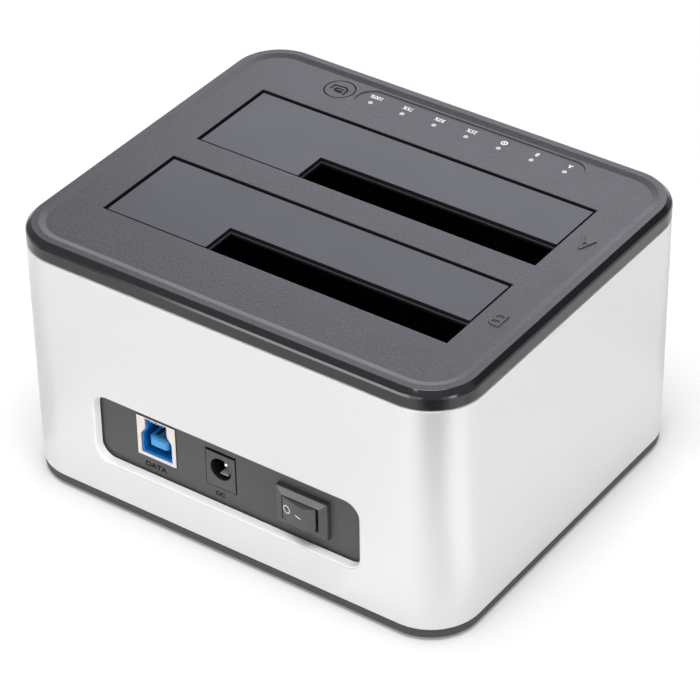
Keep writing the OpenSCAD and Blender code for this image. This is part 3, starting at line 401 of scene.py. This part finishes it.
def tinted(tree, value, colour, tone):
    """Colour that a noise darkens and lightens by the share tone."""
    ramp = tree.nodes.new("ShaderNodeValToRGB")
    for stop, sign in zip(ramp.color_ramp.elements, (-1, 1)):
        stop.color = (*[min(1.0, c * (1 + sign * tone)) for c in colour], 1.0)
    ramp.color_ramp.elements[0].position = NOISE_LOW
    ramp.color_ramp.elements[1].position = NOISE_HIGH
    tree.links.new(value, ramp.inputs["Fac"])
    return ramp.outputs["Color"]


def slope_mask(tree, height, width):
    """1 where a face's normal rises by about that height, as 0.7 on a bevel, and 0 elsewhere."""
    return combined(tree, "COMPARE", axes(tree, "Normal")["Z"], height, width)


def outside_mask(tree, limits):
    """1 where a point lies further from the middle than limits in x or y, and 0 elsewhere."""
    place = axes(tree, "Object")
    beyond = [
        combined(tree, "GREATER_THAN", combined(tree, "ABSOLUTE", place[axis]), limit)
        for axis, limit in zip("XY", limits)
    ]
    return combined(tree, "MAXIMUM", *beyond)


def finish(
    name, colour, roughness, grain, relief, tone=0.08, metallic=0.0, specular=0.5, polish=None
):
    """Material with a fine grain that moves its colour, gloss and relief.

    grain is the grains' size and relief their depth, both in millimetres. tone is the share by
    which they darken and lighten the colour. polish, when given, also multiplies the colour by the
    faces' slope, as painted light and shade.
    """
    material, tree, shader = blank_material(name)
    fine = grain_texture(tree, grain * MM)
    broad = grain_texture(tree, BROAD_GRAIN, detail=2.0)
    shader.inputs["Metallic"].default_value = metallic
    shader.inputs["Specular IOR Level"].default_value = specular
    rough = spread(tree, broad, roughness * (1 - GLOSS_SPREAD), roughness * (1 + GLOSS_SPREAD))
    paint = tinted(tree, fine, colour, tone)
    bump = tree.nodes.new("ShaderNodeBump")
    bump.inputs["Distance"].default_value = relief * MM
    bump.inputs["Strength"].default_value = 1.0
    tree.links.new(fine, bump.inputs["Height"])
    if polish:
        mask = slope_mask(tree, polish.height, polish.width)
        smooth = mask
        if polish.rim:
            smooth = combined(tree, "MULTIPLY", mask, outside_mask(tree, polish.rim))
        rough = mixed(tree, "FLOAT", smooth, rough, polish.roughness)
        tree.links.new(mixed(tree, "FLOAT", smooth, 1.0, 0.0), bump.inputs["Strength"])
        # Painted light and shade: the colour times shade on the masked faces
        shaded = (*[c * polish.shade for c in colour], 1.0)
        paint = mixed(tree, "RGBA", mask, paint, shaded)
    tree.links.new(paint, shader.inputs["Base Color"])
    tree.links.new(rough, shader.inputs["Roughness"])
    tree.links.new(bump.outputs["Normal"], shader.inputs["Normal"])
    return material


def recolour(material, mask, colour):
    """Puts a colour, or a socket that gives one, over a material's own where the mask is 1."""
    tree = material.node_tree
    paint = tree.nodes["Principled BSDF"].inputs["Base Color"]
    own = paint.links[0].from_socket
    tree.links.new(mixed(tree, "RGBA", mask, own, colour), paint)


def cut_metal_and_painted_light(material):
    """Makes the cut walls of the port window, just behind the sleeve's front, matt bare metal
    paler than the sleeve: sawn metal with painted light.
    """
    tree = material.node_tree
    place = axes(tree, "Object")
    across = combined(tree, "COMPARE", place["X"], 0.0, WINDOW_HALF)
    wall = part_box("outer_sleeve")[0].y + WINDOW_START + WINDOW_DEPTH / 2
    behind = combined(tree, "COMPARE", place["Y"], wall, WINDOW_DEPTH / 2)
    mask = combined(tree, "MULTIPLY", across, behind)
    grain = grain_texture(tree, 0.5 * MM)
    # Paler matt metal on the window's walls: painted light
    recolour(material, mask, tinted(tree, grain, SAWN_METAL_AND_PAINTED_LIGHT, tone=0.06))
    metallic = tree.nodes["Principled BSDF"].inputs["Metallic"]
    tree.links.new(mixed(tree, "FLOAT", mask, metallic.default_value, 0.0), metallic)


def paint_seam_shadow(material):
    """Paints shadow on the sleeve's top edge, in the gap where the cover sits on it."""
    tree = material.node_tree
    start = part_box("outer_sleeve")[1].z - SEAM_HEIGHT
    mask = combined(tree, "GREATER_THAN", axes(tree, "Object")["Z"], start)
    recolour(material, mask, SEAM_SHADOW_GREY)


def paint_bore_shade(material):
    """Paints shade into the bore of the power socket: nearly black behind its mouth."""
    tree = material.node_tree
    start = PANEL_FRONT + BORE_MOUTH
    mask = combined(tree, "GREATER_THAN", axes(tree, "Object")["Y"], start)
    recolour(material, mask, BORE_SHADE_BLACK)


def dress(material, *names, edge=0.0):
    """Gives CAD nodes a material and softened edges."""
    for name in names:
        obj = NODES[name]
        for slot in obj.material_slots:
            slot.material = material
        soften(obj, edge)


def add_piece(name, mesh, material, body):
    """Links a finished mesh as a piece that moves with a body."""
    mesh.materials.clear()
    mesh.materials.append(material)
    obj = bpy.data.objects.new(name, mesh)
    bpy.context.scene.collection.objects.link(obj)
    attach(obj, body)
    return obj


def text_mesh(text, height, weight, stretch):
    """Mesh of a text about its own middle; weight thickens its strokes, stretch widens it."""
    curve = bpy.data.curves.new("text", "FONT")
    curve.body = text
    curve.align_x = "CENTER"
    obj = bpy.data.objects.new("text", curve)
    bpy.context.scene.collection.objects.link(obj)
    bpy.context.view_layer.update()
    curve.size = height / obj.dimensions.y
    curve.extrude = MARK_DEPTH / 2
    curve.offset = weight
    bpy.context.view_layer.update()
    depsgraph = bpy.context.evaluated_depsgraph_get()
    mesh = bpy.data.meshes.new_from_object(obj.evaluated_get(depsgraph))
    bpy.data.objects.remove(obj)
    low = Vector(map(min, *[v.co for v in mesh.vertices]))
    high = Vector(map(max, *[v.co for v in mesh.vertices]))
    centred = Matrix.Translation(-(low + high) / 2)
    mesh.transform(Matrix.Diagonal((stretch, 1, 1, 1)) @ centred)
    return mesh


def mesh_from(shape, name):
    """Turns a bmesh's faces outwards and returns it as a mesh."""
    bmesh.ops.recalc_face_normals(shape, faces=shape.faces)
    mesh = bpy.data.meshes.new(name)
    shape.to_mesh(mesh)
    shape.free()
    return mesh


def round_edges(shape, edges, offset, segments):
    bmesh.ops.bevel(
        shape, geom=edges, offset=offset, offset_type="OFFSET", affect="EDGES",
        segments=segments, profile=0.5, material=-1,
    )


def ring_mesh(name, outside):
    """Flat ring about Z, spun from a small rectangle."""
    shape = bmesh.new()
    bmesh.ops.create_grid(shape, x_segments=1, y_segments=1, size=0.5)
    bmesh.ops.scale(shape, vec=(MARK_LINE, MARK_DEPTH, 1), verts=shape.verts)
    bmesh.ops.rotate(shape, matrix=Matrix.Rotation(math.pi / 2, 3, "X"), verts=shape.verts)
    bmesh.ops.translate(shape, vec=((outside - MARK_LINE) / 2, 0, 0), verts=shape.verts)
    bmesh.ops.spin(
        shape, geom=shape.faces[:], axis=(0, 0, 1), cent=(0, 0, 0), angle=2 * math.pi,
        steps=RING_STEPS, use_merge=True,
    )
    inner = [f for f in shape.faces if abs(f.normal.z) < 0.1 and len(f.verts) == 4 and is_spoke(f)]
    bmesh.ops.delete(shape, geom=inner, context="FACES")
    bmesh.ops.remove_doubles(shape, verts=shape.verts, dist=1e-7)
    return mesh_from(shape, name)


def is_spoke(face):
    """True for a face that lies across a ring, left inside it by the spin."""
    radii = [v.co.xy.length for v in face.verts]
    heights = [v.co.z for v in face.verts]
    return max(radii) - min(radii) > 1e-6 and max(heights) - min(heights) > 1e-6


def bar_mesh(name, length, width, depth):
    """Flat bar about the origin with rounded ends."""
    shape = bmesh.new()
    bmesh.ops.create_cube(shape, size=1.0)
    bmesh.ops.scale(shape, vec=(length, width, depth), verts=shape.verts)
    corners = [e for e in shape.edges if abs((e.verts[0].co - e.verts[1].co).z) > depth / 2]
    round_edges(shape, corners, width * BAR_END, segments=4)
    return mesh_from(shape, name)


class DOCK_OT_sleeve(bpy.types.Operator):
    """Blasts the aluminium sleeve, paints light on the bare cut walls of its window and paints
    shadow along its top edge
    """

    bl_idname = "dock.sleeve"
    bl_label = "Aluminium sleeve"

    def execute(self, context):
        blasted = finish(
            "blasted_aluminium", colours().sleeve,
            roughness=0.36, grain=0.35, relief=0.02, tone=0.03, metallic=0.55,
        )
        cut_metal_and_painted_light(blasted)
        paint_seam_shadow(blasted)
        dress(blasted, "outer_sleeve", edge=sizes().edge * 0.8)
        return {"FINISHED"}


class DOCK_OT_cover(bpy.types.Operator):
    """Gives the cover and its button a spark texture and a glossy bevel, with painted shade on the
    cover's sloped and upright faces
    """

    bl_idname = "dock.cover"
    bl_label = "Top cover"

    def execute(self, context):
        textured = finish(
            "textured_plastic", colours().cover,
            roughness=0.38, grain=0.5, relief=0.06, tone=0.3, specular=0.58,
            # Painted shade: the colour is halved on every sloped and upright face, the bevel, the
            # band, the inner slopes and the walls of the bays; only the rim's faces turn glossy
            polish=PolishAndPaintedLight(height=0.45, width=0.46, roughness=0.15, shade=0.5, rim=RIM),
        )
        button = finish(
            "button_plastic", colours().cover,
            roughness=0.38, grain=0.5, relief=0.04, tone=0.2, specular=0.58,
        )
        clear = finish(
            "light_guide", (0.44, 0.45, 0.46), roughness=0.4, grain=0.5, relief=0.004, tone=0.04
        )
        dress(textured, "top_cover", edge=sizes().edge)
        dress(button, "copy_button", edge=sizes().edge)
        dress(clear, "light_guides")
        return {"FINISHED"}


class DOCK_OT_flaps(bpy.types.Operator):
    """Gives the two flaps a smooth satin skin, with painted shade on their upright edges"""

    bl_idname = "dock.flaps"
    bl_label = "Flaps"

    def execute(self, context):
        satin = finish(
            "satin_plastic", colours().flap,
            roughness=0.36, grain=0.5, relief=0.01, tone=0.1, specular=0.55,
            # Painted shade: the upright edges get a quarter of the colour, darkening the gaps
            # round the flaps
            polish=PolishAndPaintedLight(height=0.0, width=0.5, roughness=0.5, shade=0.25),
        )
        dress(satin, "flap_a", "flap_b", edge=sizes().edge * 0.6)
        return {"FINISHED"}


class DOCK_OT_base(bpy.types.Operator):
    """Finishes the base, its feet, the screws and the hinge rods"""

    bl_idname = "dock.base"
    bl_label = "Base and feet"

    def execute(self, context):
        plastic = finish(
            "base_plastic", colours().base,
            roughness=0.5, grain=0.35, relief=0.02, tone=0.12, specular=0.3,
        )
        rubber = finish(
            "foot_rubber", (0.018, 0.018, 0.018),
            roughness=0.8, grain=0.4, relief=0.03, tone=0.2, specular=0.3,
        )
        zinc = finish(
            "zinc_steel", (0.6, 0.6, 0.6),
            roughness=0.3, grain=0.3, relief=0.004, tone=0.06, metallic=1.0,
        )
        dress(plastic, "base_plate", edge=sizes().edge)
        feet = [f"foot_{y}_{x}" for y in ("front", "back") for x in ("left", "right")]
        dress(rubber, *feet, edge=sizes().edge)
        dress(zinc, "base_screws", "frame_screws", "board_screws", "indicator_screws")
        dress(zinc, "hinge_rod_a", "hinge_rod_b")
        return {"FINISHED"}


class DOCK_OT_ports(bpy.types.Operator):
    """Finishes the port panel, the two sockets and the rocker switch"""

    bl_idname = "dock.ports"
    bl_label = "Ports"

    def execute(self, context):
        self.panel()
        self.power_socket()
        self.data_socket()
        self.switch()
        return {"FINISHED"}

    def panel(self):
        plastic = finish(
            "panel_plastic", colours().panel, roughness=0.52, grain=0.3, relief=0.02, tone=0.1
        )
        dress(plastic, "port_panel", edge=sizes().edge * 0.8)

    def power_socket(self):
        plastic = finish(
            "socket_plastic", colours().panel, roughness=0.45, grain=0.3, relief=0.012, tone=0.1
        )
        bright = finish(
            "bright_tin", (0.82, 0.8, 0.78),
            roughness=0.2, grain=0.5, relief=0.003, tone=0.05, metallic=1.0,
        )
        leaf = finish(
            "matt_tin", (0.88, 0.86, 0.84),
            roughness=0.45, grain=0.5, relief=0.004, tone=0.05, metallic=0.2,
        )
        paint_bore_shade(plastic)
        dress(plastic, "dc_housing", edge=sizes().edge)
        dress(bright, "dc_centre_pin")
        dress(leaf, "dc_spring_contact")

    def data_socket(self):
        tin = finish(
            "tin_plate", colours().socket,
            roughness=0.34, grain=0.6, relief=0.006, tone=0.05, metallic=0.75,
        )
        gold = finish(
            "gold_flash", (0.86, 0.62, 0.26),
            roughness=0.26, grain=0.4, relief=0.003, tone=0.06, metallic=1.0,
        )
        blue = finish(
            "blue_insulator", colours().insulator, roughness=0.32, grain=0.5, relief=0.006
        )
        light_blue = finish(
            "blue_tongue", colours().tongue, roughness=0.34, grain=0.5, relief=0.006, tone=0.06
        )
        # Paler blue than the insulator: partly the ribs' own blue, partly painted highlight
        rib_blue_and_highlight = finish(
            "rib_blue", colours().rib, roughness=0.4, grain=0.5, relief=0.004, tone=0.06
        )
        dress(tin, "usb_shell", edge=sizes().edge * 0.6)
        dress(gold, "usb_contacts", "switch_terminals", "drive_contacts_a", "drive_contacts_b")
        dress(blue, "usb_insulator", edge=sizes().edge * 0.5)
        dress(light_blue, "usb_tongue", edge=sizes().edge * 0.5)
        self.ribs(rib_blue_and_highlight)

    def ribs(self, material):
        """Row of small ribs under the roof of the data socket's mouth."""
        low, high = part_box("usb_contacts")
        for index in range(RIB_COUNT):
            shape = bmesh.new()
            bmesh.ops.create_cube(shape, size=1.0)
            bmesh.ops.scale(shape, vec=RIB_SIZE, verts=shape.verts)
            round_edges(shape, shape.edges[:], RIB_EDGE, segments=2)
            place = (
                (low.x + high.x) / 2 + (index - (RIB_COUNT - 1) / 2) * RIB_PITCH,
                PANEL_FRONT + RIB_INSET + RIB_SIZE.y / 2,
                high.z - RIB_SIZE.z / 2,
            )
            bmesh.ops.translate(shape, vec=place, verts=shape.verts)
            mesh = mesh_from(shape, "rib")
            add_piece(f"socket_rib_{index + 1}", mesh, material, "dock")

    def switch(self):
        housing = finish(
            "switch_plastic", colours().switch,
            roughness=0.42, grain=0.28, relief=0.03, tone=0.16,
            # Painted light: the bezel's upward bevel gets 2.4 times the colour, as if lit from
            # above
            polish=PolishAndPaintedLight(height=0.35, width=0.25, roughness=0.42, shade=2.4),
        )
        rocker = finish(
            "rocker_plastic", colours().switch, roughness=0.36, grain=0.3, relief=0.012
        )
        dress(housing, "switch_housing", edge=sizes().edge * 1.2)
        dress(rocker, "switch_rocker", edge=sizes().edge * 1.5)


class DOCK_OT_insides(bpy.types.Operator):
    """Finishes the bay frame, the boards and what they carry"""

    bl_idname = "dock.insides"
    bl_label = "Insides"

    def execute(self, context):
        black = finish(
            "frame_plastic", (0.008, 0.008, 0.009),
            roughness=0.55, grain=0.4, relief=0.02, tone=0.2, specular=0.3,
        )
        connector = finish(
            "connector_plastic", (0.012, 0.012, 0.013),
            roughness=0.42, grain=0.3, relief=0.006, tone=0.1,
        )
        board = finish(
            "circuit_board", (0.015, 0.14, 0.05),
            roughness=0.35, grain=0.8, relief=0.006, tone=0.15,
        )
        grey = finish(
            "ribbon_grey", (0.42, 0.42, 0.43), roughness=0.5, grain=0.6, relief=0.01, tone=0.06
        )
        ivory = finish(
            "plug_ivory", (0.74, 0.7, 0.6), roughness=0.45, grain=0.5, relief=0.006, tone=0.05
        )
        lens = finish(
            "light_lens", (0.78, 0.78, 0.72), roughness=0.25, grain=0.4, relief=0.004, tone=0.04
        )
        can = finish(
            "capacitor_sleeve", (0.02, 0.03, 0.09),
            roughness=0.3, grain=0.6, relief=0.004, tone=0.1,
        )
        red = finish("lead_red", (0.42, 0.02, 0.02), roughness=0.45, grain=0.4, relief=0.006)
        dress(black, "bay_frame")
        dress(connector, "drive_connector_a", "drive_connector_b", "key_switch", "key_plunger")
        dress(connector, "bridge_chip", "choke_coil")
        dress(board, "main_board", "indicator_board")
        dress(grey, "indicator_ribbon")
        dress(ivory, "ribbon_plugs")
        dress(lens, "indicator_lights")
        dress(can, "capacitors")
        dress(red, "switch_leads")
        return {"FINISHED"}


class DOCK_OT_springs(bpy.types.Operator):
    """Winds the flap springs: the turns stay on the dock and the long leg follows its flap"""

    bl_idname = "dock.springs"
    bl_label = "Flap springs"

    def execute(self, context):
        wire = finish(
            "spring_wire", (0.55, 0.55, 0.56),
            roughness=0.25, grain=0.3, relief=0.003, tone=0.06, metallic=1.0,
        )
        for bay in "ab":
            node = f"flap_spring_{bay}"
            low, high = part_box(node)
            axis = Vector(JOINTS[f"flap_{bay}_hinge"]["pos_m"])
            place = Matrix.Translation((low.x, axis.y, axis.z))
            turns = spring_turns(f"spring_turns_{bay}", high.x - low.x)
            turns.transform(place)
            coil = add_piece(f"spring_turns_{bay}", turns, wire, "dock")
            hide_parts(node)
            leg = spring_leg(f"spring_leg_{bay}")
            leg.transform(place)
            straight = add_piece(f"spring_leg_{bay}", leg, wire, f"flap_{bay}")
            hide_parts(node)
        return {"FINISHED"}


def wire_start(shape):
    """Small disc of wire at the top of a spring, facing along Y."""
    made = bmesh.ops.create_circle(
        shape, cap_ends=True, segments=WIRE_SIDES, radius=SPRING_WIRE / 2
    )
    bmesh.ops.rotate(shape, matrix=Matrix.Rotation(math.pi / 2, 3, "X"), verts=made["verts"])
    bmesh.ops.translate(shape, vec=(SPRING_WIRE / 2, 0, SPRING_RADIUS), verts=made["verts"])


def spring_turns(name, length):
    """Wire wound about X, one pitch along for each turn."""
    shape = bmesh.new()
    wire_start(shape)
    turns = int((length - SPRING_WIRE) / SPRING_PITCH + 0.5)
    steps = STEPS_PER_TURN * turns
    bmesh.ops.spin(
        shape, geom=shape.faces[:], axis=(1, 0, 0), cent=(0, 0, 0),
        dvec=(SPRING_PITCH * turns / steps, 0, 0), angle=-2 * math.pi * turns,
        steps=steps, use_merge=False,
    )
    return mesh_from(shape, name)


def spring_leg(name):
    """Straight end of the wire that presses under the flap."""
    shape = bmesh.new()
    wire_start(shape)
    made = bmesh.ops.extrude_face_region(shape, geom=shape.faces[:])
    moved = [item for item in made["geom"] if isinstance(item, bmesh.types.BMVert)]
    bmesh.ops.translate(shape, vec=(0, -SPRING_LEG, SPRING_RISE), verts=moved)
    return mesh_from(shape, name)


class DOCK_OT_light_labels(bpy.types.Operator):
    """Prints the white figures and signs beside the lights"""

    bl_idname = "dock.light_labels"
    bl_label = "Light labels"

    def execute(self, context):
        white = finish(
            "white_print", colours().marks, roughness=0.6, grain=0.2, relief=0.002, tone=0.05
        )
        height = sizes().label
        for index, (text, word) in LABELS.items():
            mesh = text_mesh(text, height, LABEL_WEIGHT, LABEL_STRETCH)
            self.put(f"label_{word}", mesh, index, white)
        ring = ring_mesh("label_power", height * POWER_RING)
        self.put("label_power", ring, POWER_LIGHT, white)
        stem = bar_mesh("label_power_stem", height * POWER_STEM, MARK_LINE, MARK_DEPTH)
        stem.transform(Matrix.Rotation(math.pi / 2, 4, "Z"))
        self.put("label_power_stem", stem, POWER_LIGHT, white)
        return {"FINISHED"}

    def put(self, name, mesh, index, material):
        """Lays a mark behind the light of that number."""
        x = FIRST_LIGHT_X + index * LIGHT_PITCH
        place = Vector((x, LIGHTS_Y + LABEL_REACH, STRIP_TOP + PRINT_LIFT))
        mesh.transform(Matrix.Translation(place) @ FACING_BACK)
        add_piece(name, mesh, material, "dock")


class DOCK_OT_port_marks(bpy.types.Operator):
    """Engraves the words under the two sockets"""

    bl_idname = "dock.port_marks"
    bl_label = "Port marks"

    def execute(self, context):
        dark = finish(
            "engraved_word", colours().engraving,
            roughness=0.8, grain=0.2, relief=0.002, tone=0.1, specular=0.1,
        )
        for text, (x, z, height) in PORT_WORDS.items():
            mesh = text_mesh(text, height * MM, WORD_WEIGHT, WORD_STRETCH)
            place = Vector((x * MM, PANEL_FRONT - ENGRAVING_LIFT, z * MM))
            mesh.transform(Matrix.Translation(place) @ UPRIGHT)
            add_piece(f"port_word_{text.lower()}", mesh, dark, "dock")
        return {"FINISHED"}


class DOCK_OT_button_sign(bpy.types.Operator):
    """Engraves a tray with a sheet in it on the copy button"""

    bl_idname = "dock.button_sign"
    bl_label = "Copy sign"

    def execute(self, context):
        dark = finish(
            "engraved_sign", colours().engraving,
            roughness=0.8, grain=0.2, relief=0.002, tone=0.1, specular=0.1,
        )
        low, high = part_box("copy_button")
        middle = (low + high) / 2
        top = Vector((middle.x, middle.y, BUTTON_TOP + ENGRAVING_LIFT))
        button = Matrix.Translation(top) @ FACING_BACK
        for word, (start, end) in COPY_STROKES.items():
            run = (Vector(end) - Vector(start)) * MM
            spot = (Vector(end) + Vector(start)) / 2 * MM
            mesh = bar_mesh(f"copy_{word}", run.length + COPY_LINE, COPY_LINE, COPY_DEPTH)
            turn = Matrix.Rotation(math.atan2(run.y, run.x), 4, "Z")
            mesh.transform(button @ Matrix.Translation((spot.x, spot.y, 0)) @ turn)
            add_piece(f"copy_{word}", mesh, dark, "copy_button")
        return {"FINISHED"}


class DOCK_OT_switch_signs(bpy.types.Operator):
    """Prints the white ring and bar on the rocker"""

    bl_idname = "dock.switch_signs"
    bl_label = "Switch signs"

    def execute(self, context):
        white = finish(
            "sign_white", colours().marks, roughness=0.55, grain=0.2, relief=0.002, tone=0.04
        )
        tilted = Matrix.Translation(ROCKER_PIVOT) @ Matrix.Rotation(ROCKER_REST, 4, "Z")
        face = tilted @ Matrix.Translation((0, -ROCKER_FRONT, 0)) @ UPRIGHT
        ring = ring_mesh("sign_off", sizes().sign)
        ring.transform(face @ Matrix.Translation((SIGN_OFF_X, 0, 0)))
        add_piece("sign_off", ring, white, "switch_rocker")
        bar = bar_mesh("sign_on", SIGN_ON_LENGTH, MARK_LINE, MARK_DEPTH)
        bar.transform(face @ Matrix.Translation((SIGN_ON_X, 0, 0)))
        add_piece("sign_on", bar, white, "switch_rocker")
        return {"FINISHED"}


class DOCK_OT_stage(bpy.types.Operator):
    """Sets the floor, the light and the camera of a plain studio"""

    bl_idname = "dock.stage"
    bl_label = "Studio"

    def execute(self, context):
        self.floor()
        self.room()
        for name, (place, side, colour) in SOFTBOXES.items():
            self.softbox(f"{name}_light", place, side, getattr(studio(), name), colour)
        self.beam("window_light", studio().window)
        for name, (place, size, angles) in LINE_CARDS.items():
            self.card(name, place, size, angles, studio().line)
        for name, (place, size, angles, glow) in CARDS.items():
            self.card(name, place, size, angles, glow)
        self.camera()
        context.scene.view_settings.view_transform = "Standard"
        return {"FINISHED"}

    def floor(self):
        """White floor that can be looked through from below."""
        shape = bmesh.new()
        bmesh.ops.create_grid(shape, x_segments=1, y_segments=1, size=FLOOR_HALF)
        obj = bpy.data.objects.new("floor", mesh_from(shape, "floor"))
        bpy.context.scene.collection.objects.link(obj)
        material, tree, shader = blank_material("white_floor")
        shader.inputs["Roughness"].default_value = 0.9
        shader.inputs["Specular IOR Level"].default_value = 0.0
        shader.inputs["Emission Color"].default_value = (*WHITE, 1)
        direct = seen_directly(tree)
        glow = mixed(tree, "FLOAT", direct, 0.0, studio().floor)
        tree.links.new(glow, shader.inputs["Emission Strength"])
        paint = mixed(tree, "RGBA", direct, FLOOR_BOUNCED, FLOOR_SEEN)
        tree.links.new(paint, shader.inputs["Base Color"])
        below = tree.nodes.new("ShaderNodeNewGeometry").outputs["Backfacing"]
        clear = tree.nodes.new("ShaderNodeBsdfTransparent").outputs["BSDF"]
        side = tree.nodes.new("ShaderNodeMixShader")
        for socket, value in zip(side.inputs, (below, shader.outputs["BSDF"], clear)):
            tree.links.new(value, socket)
        tree.links.new(side.outputs["Shader"], tree.nodes["Material Output"].inputs["Surface"])
        obj.data.materials.append(material)

    def room(self):
        """Even white light from all round."""
        world = bpy.data.worlds.new("room")
        world.use_nodes = True
        background = world.node_tree.nodes["Background"]
        background.inputs["Color"].default_value = (*WHITE, 1)
        background.inputs["Strength"].default_value = studio().room
        bpy.context.scene.world = world

    def softbox(self, name, place, side, power, colour):
        light = bpy.data.lights.new(name, "AREA")
        light.color = colour
        light.shape = "SQUARE"
        light.size = side
        light.energy = power
        self.hang(name, light, place, SOFTBOX_TARGET)

    def beam(self, name, power):
        """Narrow beam with soft edges that shows in no reflection."""
        light = bpy.data.lights.new(name, "SPOT")
        light.energy = power
        light.spot_size = BEAM_ANGLE
        light.spot_blend = 1.0
        light.shadow_soft_size = BEAM_SOURCE
        obj = self.hang(name, light, BEAM_PLACE, BEAM_TARGET)
        obj.visible_camera = False
        obj.visible_glossy = False

    def hang(self, name, light, place, target):
        """Hangs a light at a place and aims it at a target."""
        obj = bpy.data.objects.new(name, light)
        obj.location = place
        aim = Vector(target) - Vector(place)
        obj.rotation_euler = aim.to_track_quat("-Z", "Y").to_euler()
        bpy.context.scene.collection.objects.link(obj)
        return obj

    def card(self, name, place, size, angles, glow):
        """Black, grey or white card that shows only in reflections."""
        shape = bmesh.new()
        bmesh.ops.create_grid(shape, x_segments=1, y_segments=1, size=0.5)
        bmesh.ops.scale(shape, vec=(*size, 1), verts=shape.verts)
        turn = Euler([math.radians(a) for a in angles], "XYZ").to_matrix().to_4x4()
        shape.transform(Matrix.Translation(place) @ turn)
        obj = bpy.data.objects.new(name, mesh_from(shape, name))
        bpy.context.scene.collection.objects.link(obj)
        material, _, shader = blank_material(name)
        shader.inputs["Base Color"].default_value = (0, 0, 0, 1)
        shader.inputs["Specular IOR Level"].default_value = 0.0
        shader.inputs["Emission Color"].default_value = (*WHITE, 1)
        shader.inputs["Emission Strength"].default_value = glow
        obj.data.materials.append(material)
        obj.visible_camera = False
        obj.visible_diffuse = False
        obj.visible_shadow = False

    def camera(self):
        data = bpy.data.cameras.new("camera")
        data.lens = studio().lens
        data.sensor_width = CAMERA_SENSOR
        obj = bpy.data.objects.new("camera", data)
        obj.location = CAMERA_PLACE
        obj.rotation_euler = Euler([math.radians(a) for a in CAMERA_TURN], "XYZ")
        bpy.context.scene.collection.objects.link(obj)
        bpy.context.scene.camera = obj


def seen_directly(tree):
    """1 for what the camera sees, also in a mirror or through glass, and 0 for bounced light."""
    path = tree.nodes.new("ShaderNodeLightPath")
    total = path.outputs["Is Camera Ray"]
    for name in ("Is Glossy Ray", "Is Transmission Ray"):
        total = combined(tree, "MAXIMUM", total, path.outputs[name])
    return total


OPERATORS = (
    DOCK_OT_sleeve,
    DOCK_OT_cover,
    DOCK_OT_flaps,
    DOCK_OT_base,
    DOCK_OT_ports,
    DOCK_OT_insides,
    DOCK_OT_springs,
    DOCK_OT_light_labels,
    DOCK_OT_port_marks,
    DOCK_OT_button_sign,
    DOCK_OT_switch_signs,
    DOCK_OT_stage,
)


class DOCK_PT_panel(bpy.types.Panel):
    """Lists the dock's colours, sizes and building steps"""

    bl_idname = "DOCK_PT_panel"
    bl_label = "Hard drive dock"
    bl_space_type = "VIEW_3D"
    bl_region_type = "UI"
    bl_category = "Dock"

    def draw(self, context):
        scene = context.scene
        for group in (scene.dock_colours, scene.dock_sizes, scene.dock_studio):
            box = self.layout.box()
            for name in group.__annotations__:
                box.prop(group, name)
        for operator in OPERATORS:
            self.layout.operator(operator.bl_idname)


CLASSES = (DockColours, DockSizes, DockStudio, *OPERATORS, DOCK_PT_panel)


def register():
    for cls in CLASSES:
        bpy.utils.register_class(cls)
    bpy.types.Scene.dock_colours = PointerProperty(type=DockColours)
    bpy.types.Scene.dock_sizes = PointerProperty(type=DockSizes)
    bpy.types.Scene.dock_studio = PointerProperty(type=DockStudio)


def unregister():
    del bpy.types.Scene.dock_studio
    del bpy.types.Scene.dock_sizes
    del bpy.types.Scene.dock_colours
    for cls in reversed(CLASSES):
        bpy.utils.unregister_class(cls)


def main():
    register()
    for operator in OPERATORS:
        group, name = operator.bl_idname.split(".")
        getattr(getattr(bpy.ops, group), name)()


if __name__ == "__main__":
    main()
